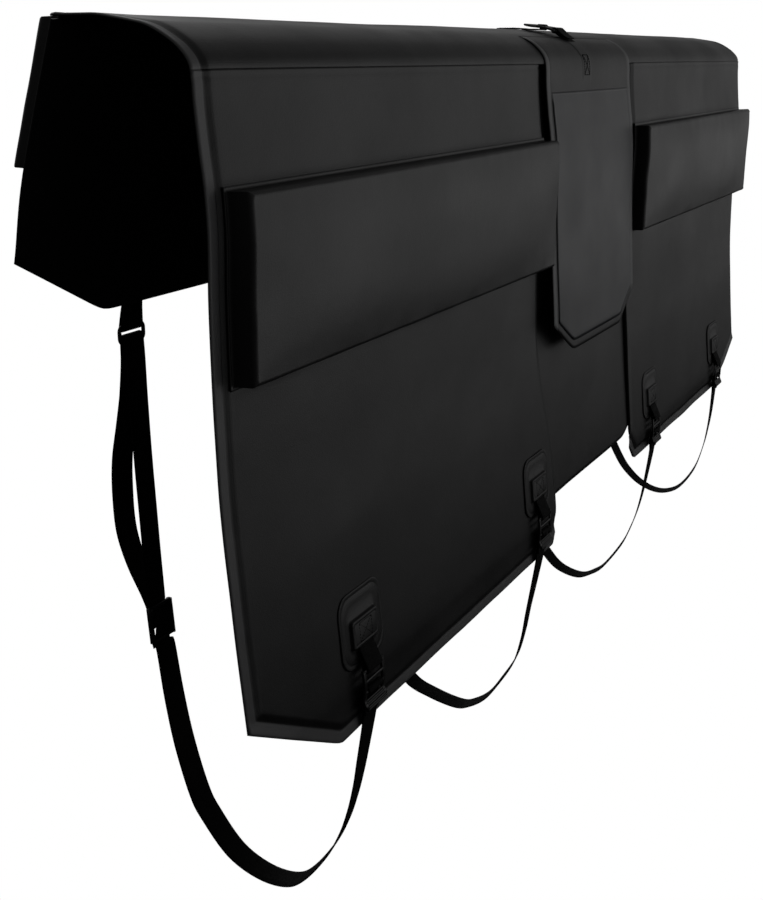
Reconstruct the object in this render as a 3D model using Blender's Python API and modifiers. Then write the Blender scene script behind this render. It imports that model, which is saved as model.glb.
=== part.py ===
# Draped tailgate bike pad: a folded cover with foam bumpers, an access flap and four webbing straps
import bpy
import bmesh
import math
import numpy as np
from mathutils import Vector

# Driving sizes, metres
PAD_LENGTH = 1.570
CENTRE_WIDTH = 0.331
CLEARANCE = 0.0003
SHEET_THICKNESS = 0.003
PANEL_SWELL = 0.002
HEM_WIDTH = 0.012
HEM_STEP = 0.0025
HEM_THICKNESS = 0.0018
HEM_FLARE = 0.001
SEAM_DROP = 0.036
FRONT_DROP_LEFT = 0.5736
FRONT_DROP_RIGHT = 0.560
FRONT_CORNER_RISE_LEFT = 0.0716
FRONT_CORNER_RISE_RIGHT = 0.055
CORNER_LENGTH = 0.129
INNER_CORNER = 0.010
SIDE_PANEL_WIDTH = (PAD_LENGTH - CENTRE_WIDTH) / 2
SIDE_PANEL_FLARE = 0.032
FLARE_START_DROP = 0.323
FLARE_DROP = 0.170
CENTRE_OVERLAP = 0.012
CENTRE_DROP = 0.518
CENTRE_CORNER = 0.014
CENTRE_SHEET = 0.0018
BACK_DROP = 0.2240
BACK_CORNER_RISE = 0.0540
BACK_CORNER_LENGTH = 0.113

# Bumpers
BUMPER_INSET = 0.0184
BUMPER_INNER_INSET = 0.0041
BUMPER_LENGTH = SIDE_PANEL_WIDTH - BUMPER_INSET - BUMPER_INNER_INSET
BUMPER_TOP_DROP = 0.113
BUMPER_HEIGHT = 0.1325
BUMPER_DEPTH = 0.0190
BUMPER_CROWN = 0.002
BUMPER_EDGE = 0.0035
BUMPER_BRIM = 0.003
BUMPER_TAPER = 0.0004
COVER_THICKNESS = 0.001
REAR_BUMPER_INSET = 0.0125
REAR_BUMPER_TOP_DROP = 0.0012
REAR_BUMPER_HEIGHT = 0.1025
REAR_BUMPER_DEPTH = 0.0205
REAR_BRIM = 0.001

# Access flap and the smooth panel on it
FLAP_NEAR_INSET = 0.0145
FLAP_FAR_INSET = 0.0165
FLAP_LEFT = SIDE_PANEL_WIDTH + FLAP_NEAR_INSET
FLAP_WIDTH = CENTRE_WIDTH - FLAP_NEAR_INSET - FLAP_FAR_INSET
FLAP_TOP_REACH = 0.030
FLAP_DROP = 0.353
FLAP_CORNER_LENGTH = 0.062
FLAP_CORNER_RISE = 0.038
FLAP_THICKNESS = 0.0018
FLAP_HANG_GAP = 0.0125
FLAP_SWING = 0.330
FLAP_PANEL_MARGIN = 0.014
FLAP_PANEL_TOP_DROP = 0.065
FLAP_PANEL_BOTTOM_MARGIN = 0.010
FLAP_PANEL_THICKNESS = 0.0012

# Webbing and its hardware
WEB_WIDTH = 0.025
WEB_THICKNESS = 0.0014
PATCH_WIDTH = 0.074
PATCH_HEIGHT = 0.066
PATCH_RADIUS = 0.016
PATCH_THICKNESS = 0.0012
PATCH_HEM_GAP = 0.0571
PATCH_TOP_DROP = FRONT_DROP_LEFT - PATCH_HEM_GAP - PATCH_HEIGHT
POCKET_WIDTH = 0.044
POCKET_HEIGHT = 0.050
POCKET_RISE = 0.0014
ANCHOR_STITCH = 0.030
BUCKLE_WIDTH = 0.037
BUCKLE_RAIL = 0.0045
BUCKLE_BAR = 0.0032
BUCKLE_THICKNESS = 0.0026
BUCKLE_SLOT = 0.0058
BUCKLE_LIP = 0.008
BUCKLE_LIFT = 0.0075
PLASTIC_EDGE = 0.0007
BUCKLE_PATCH_GAP = 0.002
BUCKLE_TOP_DROP = PATCH_TOP_DROP + PATCH_HEIGHT + BUCKLE_PATCH_GAP
ANCHOR_OUTER_INSETS = (0.173, 0.152)
ANCHOR_INNER_INSET = 0.0305
ANCHOR_FAR_INSET = 0.0935
ANCHOR_STATIONS = (
    ANCHOR_OUTER_INSETS[0], SIDE_PANEL_WIDTH - ANCHOR_INNER_INSET,
    PAD_LENGTH - SIDE_PANEL_WIDTH + ANCHOR_FAR_INSET, PAD_LENGTH - ANCHOR_OUTER_INSETS[1])
REAR_STATION_SHIFT = -0.018
STRAP_TWIST = math.radians(9)
RING_WIDTH = 0.032
RING_HEIGHT = 0.0145
RING_WIRE = 0.0034
RING_TOP_DROP = 0.2440
REAR_STITCH = 0.036
SLIDER_WIDTH = 0.032
SLIDER_HEIGHT = 0.034
SLIDER_BAR = 0.0032
SLIDER_THICKNESS = 0.0026
SLIDER_DROP = 0.514
SLIDER_Y = 0.1690
TAB_INSET = 0.132
TAB_CENTRE = FLAP_LEFT + TAB_INSET
TAB_DROP = 0.051
TOP_BUCKLE_REACH = 0.034
CENTRE_STRAP_REACH = 0.103

# Row frame: origin on the flat underside of the top, midway along the pad
ORIGIN_Y = 0.0905

# Outer face of the cover at its hems, from the rear crease over the ridge to below the front's lower edge
RIDGE_FLAT = ((0.1102, 0.0), (0.0820, 0.0))
SHOULDER = (
    (0.0790, 0.0), (0.0711, -0.0008), (0.0598, -0.0025), (0.0471, -0.0045), (0.0370, -0.0066),
    (0.0278, -0.0102), (0.0172, -0.0160), (0.0100, -0.0213), (0.0048, -0.0268), (0.0016, -0.0330),
    (0.0003, -0.0419))
FRONT_FACE = (
    (-0.0002, -0.0540), (-0.0015, -0.0695), (-0.0035, -0.0890), (-0.0058, -0.1085), (-0.0072, -0.1310),
    (-0.0073, -0.1488), (-0.0063, -0.1807), (-0.0062, -0.2132), (-0.0066, -0.2547), (-0.0075, -0.2888),
    (-0.0087, -0.3236), (-0.0112, -0.3588), (-0.0146, -0.3947), (-0.0187, -0.4390), (-0.0272, -0.5200),
    (-0.0281, -0.5450), (-0.0290, -0.6000), (-0.0306, -0.6980))
SHOULDER_STEPS = 2

# Outer face of the back panel, from the crease down
BACK_FACE = ((0.1127, 0.0), (0.1490, -0.1063), (0.1634, -0.1687), (0.1785, -0.2217), (0.1855, -0.2460))


class Section:
    """A folded line in the Y-Z plane, read by its length or by its drop, with a parallel outward offset."""

    def __init__(self, knots):
        self.y = np.array([y for y, _ in knots])
        self.z = np.array([z for _, z in knots])
        dy = np.diff(self.y)
        dz = np.diff(self.z)
        step = np.hypot(dy, dz)
        self.length = np.concatenate([[0.0], np.cumsum(step)])
        normal_y = np.concatenate([[dz[0] / step[0]], dz / step, [dz[-1] / step[-1]]])
        normal_z = np.concatenate([[-dy[0] / step[0]], -dy / step, [-dy[-1] / step[-1]]])
        mitre = 1.0 + normal_y[:-1] * normal_y[1:] + normal_z[:-1] * normal_z[1:]
        self.out_y = (normal_y[:-1] + normal_y[1:]) / mitre
        self.out_z = (normal_z[:-1] + normal_z[1:]) / mitre

    def at(self, length, offset=0.0):
        y = np.interp(length, self.length, self.y) + offset * np.interp(length, self.length, self.out_y)
        z = np.interp(length, self.length, self.z) + offset * np.interp(length, self.length, self.out_z)
        return float(y), float(z)

    def at_drop(self, drop):
        steep = self.z < -0.02
        return float(np.interp(drop, -self.z[steep], self.length[steep]))

    def at_y(self, y):
        upper = self.z > -0.02
        return float(np.interp(-y, -self.y[upper], self.length[upper]))

    def folds(self, start, end):
        """The section's own folds between two lengths, so that pieces laid on it fold where it does."""
        margin = 0.0008
        return [float(v) for v in self.length if start + margin < v < end - margin]


def catmull_rom(p0, p1, p2, p3, t):
    return 0.5 * (2 * p1 + (p2 - p0) * t + (2 * p0 - 5 * p1 + 4 * p2 - p3) * t * t
                  + (3 * p1 - p0 - 3 * p2 + p3) * t ** 3)


def smooth_route(points, per_span):
    """Points of a smooth curve through the chosen route points."""
    route = [Vector(p) for p in points]
    fine = []
    for i in range(len(route) - 1):
        before = route[max(i - 1, 0)]
        after = route[min(i + 2, len(route) - 1)]
        for k in range(per_span):
            fine.append(catmull_rom(before, route[i], route[i + 1], after, k / per_span))
    fine.append(route[-1])
    return fine


def smoothstep(value):
    value = min(max(value, 0.0), 1.0)
    return value * value * (3 - 2 * value)


SMOOTH_SHOULDER = [(p.y, p.z) for p in smooth_route([(0.0, y, z) for y, z in SHOULDER], SHOULDER_STEPS)]
COVER = Section(RIDGE_FLAT + tuple(SMOOTH_SHOULDER) + FRONT_FACE)
BACK = Section(BACK_FACE)
UNDERSIDE = -SHEET_THICKNESS


def row(x, y, z):
    """From the pad's own corner, near end and ridge, to the row frame."""
    return Vector((x - PAD_LENGTH / 2, y - ORIGIN_Y, z - UNDERSIDE))


def on_cover(x, length, offset):
    y, z = COVER.at(length, offset)
    return row(x, y, z)


def on_front(x, drop, offset):
    """A point in front of the cover, by its drop under the ridge and its height off the hem's face."""
    return on_cover(x, COVER.at_drop(drop), offset)


def on_back(x, drop, offset):
    y = float(np.interp(drop, -BACK.z, BACK.y))
    return row(x, y + offset, -drop)


def clear_scene():
    for item in list(bpy.data.objects):
        bpy.data.objects.remove(item, do_unlink=True)
    for collection in list(bpy.data.collections):
        bpy.data.collections.remove(collection)


def new_material(name, color, roughness):
    material = bpy.data.materials.new(name)
    material.use_nodes = True
    shader = material.node_tree.nodes["Principled BSDF"]
    shader.inputs["Base Color"].default_value = (*color, 1.0)
    shader.inputs["Roughness"].default_value = roughness
    shader.inputs["Metallic"].default_value = 0.0
    return material


clear_scene()
COLLECTION = bpy.data.collections.new("tailgate_bike_pad")
bpy.context.scene.collection.children.link(COLLECTION)

MATERIALS = {
    "cover_fabric": ((0.020, 0.020, 0.021), 0.48),
    "bumper_fabric": ((0.022, 0.022, 0.023), 0.42),
    "flap_film": ((0.030, 0.032, 0.036), 0.34),
    "webbing": ((0.014, 0.014, 0.015), 0.80),
    "buckle_plastic": ((0.016, 0.016, 0.017), 0.38),
    "foam": ((0.050, 0.050, 0.052), 0.90),
}


def add_mesh(name, slot, build, smooth=False):
    """One object from a bmesh, in the pad's collection, with a material of its own."""
    mesh = bpy.data.meshes.new(name)
    bm = bmesh.new()
    build(bm)
    bmesh.ops.recalc_face_normals(bm, faces=bm.faces)
    bm.to_mesh(mesh)
    bm.free()
    thing = bpy.data.objects.new(name, mesh)
    COLLECTION.objects.link(thing)
    mesh.materials.append(new_material(name, *MATERIALS[slot]))
    if smooth:
        mesh.polygons.foreach_set("use_smooth", [True] * len(mesh.polygons))
    return thing


def solidify(thing, thickness, offset):
    shell = thing.modifiers.new("thickness", "SOLIDIFY")
    shell.thickness = thickness
    shell.offset = offset
    shell.use_even_offset = True
    return thing


def grid_faces(bm, rows, outward, skip=()):
    """A surface through rows of points, with its faces turned to the outward direction."""
    verts = [[bm.verts.new(p) for p in line] for line in rows]
    for j in range(len(rows) - 1):
        for i in range(len(rows[j]) - 1):
            if (j, i) in skip:
                continue
            bm.faces.new((verts[j][i], verts[j][i + 1], verts[j + 1][i + 1], verts[j + 1][i]))
    loose = [v for v in bm.verts if not v.link_faces]
    bmesh.ops.delete(bm, geom=loose, context="VERTS")
    bmesh.ops.recalc_face_normals(bm, faces=bm.faces)
    bm.normal_update()
    facing = sum((f.normal.dot(outward) * f.calc_area() for f in bm.faces), 0.0)
    if facing < 0:
        bmesh.ops.reverse_faces(bm, faces=bm.faces)


def mitred_grid(bm, rows):
    """A box-like surface whose cells are split along the mitres that run in from its four corners."""
    verts = [[bm.verts.new(p) for p in line] for line in rows]
    for j in range(len(rows) - 1):
        for i in range(len(rows[j]) - 1):
            corners = [verts[j][i], verts[j][i + 1], verts[j + 1][i + 1], verts[j + 1][i]]
            if (2 * j < len(rows) - 1) != (2 * i < len(rows[j]) - 1):
                corners = corners[1:] + corners[:1]
            bm.faces.new(corners[:3])
            bm.faces.new((corners[0], corners[2], corners[3]))
    rim = verts[0] + [line[-1] for line in verts[1:-1]] + verts[-1][::-1]
    return rim + [line[0] for line in verts[1:-1]][::-1]


def sheet(name, slot, rows, outward, thickness, offset=-1.0, skip=(), smooth=True, padding=None):
    """A cloth or plastic sheet: an open surface given its thickness, all of it or a share at each point."""
    mesh = bpy.data.meshes.new(name)
    bm = bmesh.new()
    grid_faces(bm, rows, Vector(outward), skip)
    bm.to_mesh(mesh)
    bm.free()
    thing = bpy.data.objects.new(name, mesh)
    COLLECTION.objects.link(thing)
    mesh.materials.append(new_material(name, *MATERIALS[slot]))
    mesh.polygons.foreach_set("use_smooth", [smooth] * len(mesh.polygons))
    solidify(thing, thickness, offset)
    if padding is not None:
        group = thing.vertex_groups.new(name="padding")
        shares = [share for line in padding for share in line]
        for index, share in enumerate(shares):
            group.add([index], share, "REPLACE")
        thing.modifiers["thickness"].vertex_group = "padding"
    return thing


PADDED = SHEET_THICKNESS + PANEL_SWELL
HEM_SHARE = HEM_THICKNESS / PADDED


def in_field(x, near, far, hem_near, hem_far):
    """True where a column stands on the padded field rather than on a side hem."""
    edge = HEM_WIDTH + HEM_STEP - 0.0001
    return (x - near > edge or not hem_near) and (far - x > edge or not hem_far)


def hem_lines(start, end, inner, first=True, last=True):
    """Grid positions from start to end with a hem strip and its step at the chosen ends."""
    lines = []
    if first:
        lines += [start, start + HEM_WIDTH, start + HEM_WIDTH + HEM_STEP]
    else:
        lines += [start]
    low = lines[-1]
    high = end - HEM_WIDTH - HEM_STEP if last else end
    lines += [low + (high - low) * k / inner for k in range(1, inner)]
    if last:
        lines += [high, end - HEM_WIDTH, end]
    else:
        lines += [end]
    return lines


def corner_drop(x, near, far, drop, near_corner, far_corner):
    """The lower edge's drop at x, with a slanted corner of (length, rise) at each end."""
    result = drop
    for distance, (length, rise) in ((x - near, near_corner), (far - x, far_corner)):
        if distance < length:
            result = min(result, drop - rise * (1 - distance / length))
    return result


def top_panel():
    columns = hem_lines(0.0, PAD_LENGTH, 6)
    seam = COVER.at_drop(SEAM_DROP - CLEARANCE / 2)
    lengths = [0.0] + COVER.folds(0.0, seam) + [seam]
    rows = []
    padding = []
    for length in lengths:
        fields = [in_field(x, 0.0, PAD_LENGTH, True, True) for x in columns]
        rows.append([on_cover(x, length, PANEL_SWELL * field) for x, field in zip(columns, fields)])
        padding.append([1.0 if field else HEM_SHARE for field in fields])
    return sheet("top_panel", "cover_fabric", rows, (0, -0.4, 1), PADDED, padding=padding)


def front_panel(name, near, far, drop, near_corner, far_corner, flare_side):
    """One side of the front: a padded field inside hems, with slanted lower corners."""
    hem_near = flare_side != "near"
    hem_far = flare_side != "far"
    columns = hem_lines(near, far, 6, hem_near, hem_far)
    for corner, edge, sign in ((near_corner, near, 1), (far_corner, far, -1)):
        position = edge + sign * corner[0]
        if min(abs(position - x) for x in columns) > 0.003:
            columns.append(position)
    columns = sorted(columns)
    top = SEAM_DROP + CLEARANCE / 2
    field_end = drop - HEM_WIDTH - HEM_STEP
    folds = COVER.folds(COVER.at_drop(top), COVER.at_drop(field_end))
    drops = [top] + [-COVER.at(length)[1] for length in folds] + [field_end, drop - HEM_WIDTH, drop]
    fixed = 0.42
    rows = [[] for _ in drops]
    padding = [[] for _ in drops]
    for x in columns:
        side_field = in_field(x, near, far, hem_near, hem_far)
        bottom = corner_drop(x, near, far, drop, near_corner, far_corner)
        for j, value in enumerate(drops):
            field = side_field and value < field_end + 0.0001
            if value > fixed:
                lower = drop - HEM_WIDTH - HEM_STEP
                local = bottom - HEM_WIDTH - HEM_STEP
                if value <= lower + 0.0001:
                    value = fixed + (value - fixed) * (local - fixed) / (lower - fixed)
                else:
                    value = bottom - (drop - value)
            flare = HEM_FLARE if j == len(drops) - 1 else 0.0
            shift = flare_shift(x, value, near, far, flare_side)
            rows[j].append(on_front(x + shift, value, PANEL_SWELL * field + flare))
            padding[j].append(1.0 if field else HEM_SHARE)
    return sheet(name, "cover_fabric", rows, (0, -1, 0), PADDED, padding=padding)


def flare_shift(x, drop, near, far, flare_side):
    """The left panel's inner edge leans towards the centre below the bumper."""
    if flare_side != "far":
        return 0.0
    share = (x - near) / (far - near)
    return SIDE_PANEL_FLARE * smoothstep((drop - FLARE_START_DROP) / FLARE_DROP) * max(share * 2 - 1, 0.0)


def centre_panel():
    near = SIDE_PANEL_WIDTH - CENTRE_OVERLAP
    far = PAD_LENGTH - SIDE_PANEL_WIDTH + CENTRE_OVERLAP
    behind = -(SHEET_THICKNESS + CLEARANCE)
    corner_length = CENTRE_OVERLAP * 3
    span = far - near
    columns = [near, near + corner_length, near + span * 0.35, near + span * 0.65, far - corner_length, far]
    corner = (corner_length, CENTRE_CORNER)
    top = SEAM_DROP + CLEARANCE / 2
    lowest = CENTRE_DROP - CENTRE_CORNER - 0.02
    folds = COVER.folds(COVER.at_drop(top), COVER.at_drop(lowest))
    drops = [top] + [-COVER.at(length)[1] for length in folds] + [lowest]
    rows = [[on_front(x, drop, behind) for x in columns] for drop in drops]
    rows.append([on_front(x, corner_drop(x, near, far, CENTRE_DROP, corner, corner), behind)
                 for x in columns])
    return sheet("centre_panel", "cover_fabric", rows, (0, -1, 0), CENTRE_SHEET)


def back_panel():
    columns = [0.0, HEM_WIDTH, BACK_CORNER_LENGTH]
    inner = PAD_LENGTH - 2 * BACK_CORNER_LENGTH
    columns += [BACK_CORNER_LENGTH + inner * k / 6 for k in range(1, 6)]
    columns += [PAD_LENGTH - BACK_CORNER_LENGTH, PAD_LENGTH - HEM_WIDTH, PAD_LENGTH]
    corner = (BACK_CORNER_LENGTH, BACK_CORNER_RISE)
    top = SHEET_THICKNESS + CLEARANCE
    middle = -BACK_FACE[1][1]
    rows = [[on_back(x, top, 0.0) for x in columns]]
    rows.append([on_back(x, middle, 0.0) for x in columns])
    lowest = BACK_DROP - BACK_CORNER_RISE
    rows.append([on_back(x, min(lowest, -BACK_FACE[2][1]) - HEM_WIDTH, 0.0) for x in columns])
    for lift in (HEM_WIDTH, 0.0):
        rows.append([on_back(x, corner_drop(x, 0.0, PAD_LENGTH, BACK_DROP, corner, corner) - lift, 0.0)
                     for x in columns])
    return sheet("back_panel", "cover_fabric", rows, (0, 1, 0), SHEET_THICKNESS)


def bumper_lines(start, size, depth, brim_start, brim_end, inner, inset):
    """Grid lines over a bumper: brim, wall foot, wall top, rounded edge, then the crowned face.

    The inset moves the lines to the inner side of the cloth: in at the walls and down everywhere.
    """
    low = start + inset
    high = start + size - inset
    face = depth - inset
    shoulder = depth - BUMPER_EDGE * 0.6 - inset * 0.6
    edge = BUMPER_EDGE - inset * 0.6
    lines = [(start - brim_start, -inset, 0.0), (low, -inset, 0.0), (low + BUMPER_TAPER, shoulder, 0.0),
             (low + edge, face, 0.0)]
    for position in inner:
        crown = 1.0 - (2 * (position - start) / size - 1.0) ** 4
        lines.append((position, face, crown))
    lines += [(high - edge, face, 0.0), (high - BUMPER_TAPER, shoulder, 0.0), (high, -inset, 0.0),
              (start + size + brim_end, -inset, 0.0)]
    return lines


def even_steps(start, size, count):
    return [start + size * k / count for k in range(1, count)]


def bumper_cover(name, across, down, depth, place, seat):
    """The fabric box of a bumper, open at its back, with a narrow welded brim."""

    def surface(inset):
        columns = bumper_lines(*across[:2], depth, *across[2:], inset)
        rows = []
        for drop, drop_height, drop_crown in bumper_lines(*down[:2], depth, *down[2:], inset):
            line = []
            for x, x_height, x_crown in columns:
                rise = min(drop_height, x_height) + BUMPER_CROWN * x_crown * drop_crown
                line.append(place(x, drop, seat + CLEARANCE + COVER_THICKNESS + rise))
            rows.append(line)
        return rows

    def build(bm):
        outer = mitred_grid(bm, surface(0.0))
        inner = mitred_grid(bm, surface(COVER_THICKNESS))
        count = len(outer)
        for k in range(count):
            following = (k + 1) % count
            bm.faces.new((outer[k], outer[following], inner[following], inner[k]))

    return add_mesh(name, "bumper_fabric", build, smooth=True)


def bumper_foam(name, near, far, drops, place, seat, depth):
    """The foam block inside a bumper's cover, with its edges eased."""
    inside = COVER_THICKNESS + CLEARANCE * 2 + BUMPER_TAPER
    low = drops[0] + inside
    high = drops[-1] - inside
    inner = [low] + [d for d in drops[1:-1]] + [high]

    def build(bm):
        rings = []
        for drop in inner:
            bottom = seat + CLEARANCE
            top = seat + depth - CLEARANCE
            ring = [(near + inside, bottom), (far - inside, bottom), (far - inside, top), (near + inside, top)]
            rings.append([bm.verts.new(place(x, drop, rise)) for x, rise in ring])
        for a, b in zip(rings, rings[1:]):
            for i in range(4):
                bm.faces.new((a[i], a[(i + 1) % 4], b[(i + 1) % 4], b[i]))
        bm.faces.new(rings[0])
        bm.faces.new(rings[-1])

    return round_edges(add_mesh(name, "foam", build), BUMPER_EDGE * 0.8)


def bumpers():
    lower = BUMPER_TOP_DROP + BUMPER_HEIGHT
    folds = [-COVER.at(length)[1] for length in COVER.folds(COVER.at_drop(BUMPER_TOP_DROP),
                                                            COVER.at_drop(lower))]
    for side, start in (("left", BUMPER_INSET), ("right", PAD_LENGTH - BUMPER_INSET - BUMPER_LENGTH)):
        across = (start, BUMPER_LENGTH, BUMPER_BRIM, BUMPER_BRIM, even_steps(start, BUMPER_LENGTH, 8))
        down = (BUMPER_TOP_DROP, BUMPER_HEIGHT, BUMPER_BRIM, BUMPER_BRIM, folds)
        bumper_cover(f"bumper_cover_{side}", across, down, BUMPER_DEPTH, on_front, PANEL_SWELL)
        bumper_foam(f"bumper_foam_{side}", start, start + BUMPER_LENGTH, [BUMPER_TOP_DROP] + folds + [lower],
                    on_front, PANEL_SWELL, BUMPER_DEPTH)
    start = REAR_BUMPER_INSET
    length = PAD_LENGTH - 2 * REAR_BUMPER_INSET
    across = (start, length, BUMPER_BRIM, BUMPER_BRIM, even_steps(start, length, 10))
    down = (REAR_BUMPER_TOP_DROP, REAR_BUMPER_HEIGHT, REAR_BRIM, BUMPER_BRIM,
            even_steps(REAR_BUMPER_TOP_DROP, REAR_BUMPER_HEIGHT, 4))
    bumper_cover("bumper_cover_rear", across, down, REAR_BUMPER_DEPTH, on_back, 0.0)
    drops = [REAR_BUMPER_TOP_DROP, REAR_BUMPER_TOP_DROP + REAR_BUMPER_HEIGHT]
    bumper_foam("bumper_foam_rear", start, start + length, drops, on_back, 0.0, REAR_BUMPER_DEPTH)


def flap_offset(drop):
    """How far the flap's inner face stands off the hem's face: it seats on the shoulder and swings out."""
    return PANEL_SWELL + CLEARANCE + FLAP_HANG_GAP * smoothstep((drop - SEAM_DROP) / FLAP_SWING)


def flap_sheet(name, slot, near, far, top, lower, corner, level, thickness):
    """A piece of the hanging flap between two lengths of the section, with slanted lower corners."""
    columns = [near, near + corner[0], (near + far) / 2, far - corner[0], far]
    fixed = COVER.at_drop(lower - corner[1] - 0.02)
    lengths = [top] + COVER.folds(top, fixed) + [fixed]
    rows = []
    for length in lengths:
        drop = -COVER.at(length)[1]
        rows.append([on_cover(x, length, flap_offset(drop) + level + thickness) for x in columns])
    ends = [corner_drop(x, near, far, lower, corner, corner) for x in columns]
    rows.append([on_front(x, drop, flap_offset(drop) + level + thickness) for x, drop in zip(columns, ends)])
    return sheet(name, slot, rows, (0, -1, 0.2), thickness)


def access_flap():
    near = FLAP_LEFT
    far = FLAP_LEFT + FLAP_WIDTH
    corner = (FLAP_CORNER_LENGTH, FLAP_CORNER_RISE)
    return flap_sheet("access_flap", "cover_fabric", near, far, COVER.at_y(FLAP_TOP_REACH), FLAP_DROP,
                      corner, 0.0, FLAP_THICKNESS)


def flap_panel():
    near = FLAP_LEFT + FLAP_PANEL_MARGIN
    far = FLAP_LEFT + FLAP_WIDTH - FLAP_PANEL_MARGIN
    slant = FLAP_CORNER_RISE / FLAP_CORNER_LENGTH
    length = FLAP_CORNER_LENGTH - FLAP_PANEL_MARGIN
    return flap_sheet("flap_panel", "flap_film", near, far, COVER.at_drop(FLAP_PANEL_TOP_DROP),
                      FLAP_DROP - FLAP_PANEL_BOTTOM_MARGIN, (length, length * slant),
                      FLAP_THICKNESS + CLEARANCE, FLAP_PANEL_THICKNESS)


def rounded_outline(width, height, radius, steps=4):
    """Corner-rounded rectangle around the origin, as (x, y) points."""
    points = []
    for cx, cy, start in ((1, 1, 0), (-1, 1, 90), (-1, -1, 180), (1, -1, 270)):
        for k in range(steps + 1):
            angle = math.radians(start + 90 * k / steps)
            points.append((cx * (width / 2 - radius) + radius * math.cos(angle),
                           cy * (height / 2 - radius) + radius * math.sin(angle)))
    return points


def anchor_patch(name, station):
    """A welded patch with a raised pocket, lofted through five outlines that follow the panel."""
    centre_drop = PATCH_TOP_DROP + PATCH_HEIGHT / 2
    seat = PANEL_SWELL + CLEARANCE
    slope = POCKET_RISE * 1.5
    stack = (
        (PATCH_WIDTH, PATCH_HEIGHT, PATCH_RADIUS, seat),
        (PATCH_WIDTH, PATCH_HEIGHT, PATCH_RADIUS, seat + PATCH_THICKNESS * 0.6),
        (PATCH_WIDTH - PATCH_THICKNESS, PATCH_HEIGHT - PATCH_THICKNESS, PATCH_RADIUS, seat + PATCH_THICKNESS),
        (POCKET_WIDTH + slope, POCKET_HEIGHT + slope, PATCH_RADIUS * 0.4, seat + PATCH_THICKNESS),
        (POCKET_WIDTH, POCKET_HEIGHT, PATCH_RADIUS * 0.4, seat + PATCH_THICKNESS + POCKET_RISE))

    def build(bm):
        rings = []
        for width, height, radius, offset in stack:
            outline = rounded_outline(width, height, radius)
            rings.append([bm.verts.new(on_front(station + x, centre_drop - y, offset)) for x, y in outline])
        count = len(rings[0])
        for a, b in zip(rings, rings[1:]):
            for i in range(count):
                bm.faces.new((a[i], a[(i + 1) % count], b[(i + 1) % count], b[i]))
        bm.faces.new(rings[0])
        bm.faces.new(rings[-1])

    return add_mesh(name, "cover_fabric", build)


def web_rows(points, half_direction):
    """Two edges of a flat webbing along its centre line."""
    return [[p - half_direction(k), p + half_direction(k)] for k, p in enumerate(points)]


def webbing(name, points, half_direction):
    return sheet(name, "webbing", web_rows(points, half_direction), (0, 0, 1), WEB_THICKNESS, offset=0.0)


def straight_half(_):
    return Vector((WEB_WIDTH / 2, 0.0, 0.0))


POCKET_TOP = PANEL_SWELL + CLEARANCE + PATCH_THICKNESS + POCKET_RISE
WEB_STEP = WEB_THICKNESS + CLEARANCE
BUCKLE_TURN = math.hypot(BUCKLE_BAR, BUCKLE_THICKNESS) / 2 - PLASTIC_EDGE * 0.5 + CLEARANCE + WEB_THICKNESS / 2


def arc(centre, middle, radius, start, end, count):
    """Points of a round turn: degrees are counted from straight down the piece towards its outer side."""
    turn = []
    for k in range(count + 1):
        angle = math.radians(start + (end - start) * k / count)
        turn.append((centre + radius * math.cos(angle), middle + radius * math.sin(angle)))
    return turn


def anchor_web(name, station):
    """The stitched webbing that carries a front buckle on its upper bar."""
    lower = POCKET_TOP + CLEARANCE + WEB_THICKNESS / 2
    upper = lower + WEB_STEP
    bar = BUCKLE_TOP_DROP + BUCKLE_BAR / 2
    middle = PANEL_SWELL + BUCKLE_LIFT
    start = PATCH_TOP_DROP + PATCH_HEIGHT / 2 - ANCHOR_STITCH / 2 + 0.004
    route = [(start, lower), (start + ANCHOR_STITCH * 0.6, lower)]
    route += arc(bar, middle, BUCKLE_TURN, -110, 110, 8)
    route += [(start + ANCHOR_STITCH * 0.66, upper + WEB_STEP * 0.6), (start + ANCHOR_STITCH * 0.5, upper),
              (start, upper)]
    points = [on_front(station, drop, offset) for drop, offset in route]
    return webbing(name, points, straight_half)


def buckle_stations():
    """Lengths down a ladder buckle: bar, slot, bar, slot, bar, slot, lip, with the lip lifted."""
    edges = [0.0, BUCKLE_BAR]
    for step in (BUCKLE_SLOT, BUCKLE_BAR, BUCKLE_SLOT, BUCKLE_BAR, BUCKLE_SLOT):
        edges.append(edges[-1] + step)
    edges += [edges[-1] + BUCKLE_LIP * 0.5, edges[-1] + BUCKLE_LIP]
    lifts = [0.0] * (len(edges) - 1) + [BUCKLE_LIP * 0.3]
    return edges, lifts


def buckle_columns():
    half = BUCKLE_WIDTH / 2
    return [-half, -half + BUCKLE_RAIL, half - BUCKLE_RAIL, half]


def ladder_buckle(name, place):
    """A moulded ladder buckle: side rails, three bars, three slots and a lifted lip."""
    edges, lifts = buckle_stations()
    rows = [[place(x, edge, lift + BUCKLE_THICKNESS / 2) for x in buckle_columns()]
            for edge, lift in zip(edges, lifts)]
    thing = sheet(name, "buckle_plastic", rows, (0, -1, 0.5), BUCKLE_THICKNESS,
                  skip={(1, 1), (3, 1), (5, 1)}, smooth=False)
    return round_edges(thing, PLASTIC_EDGE)


def round_edges(thing, width):
    bevel = thing.modifiers.new("edges", "BEVEL")
    bevel.width = width
    bevel.segments = 1
    bevel.limit_method = "ANGLE"
    bevel.angle_limit = math.radians(50)
    return thing


def front_buckle(name, station):
    middle = PANEL_SWELL + BUCKLE_LIFT
    return ladder_buckle(name, lambda x, down, lift: on_front(station + x, BUCKLE_TOP_DROP + down, middle + lift))


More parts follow.
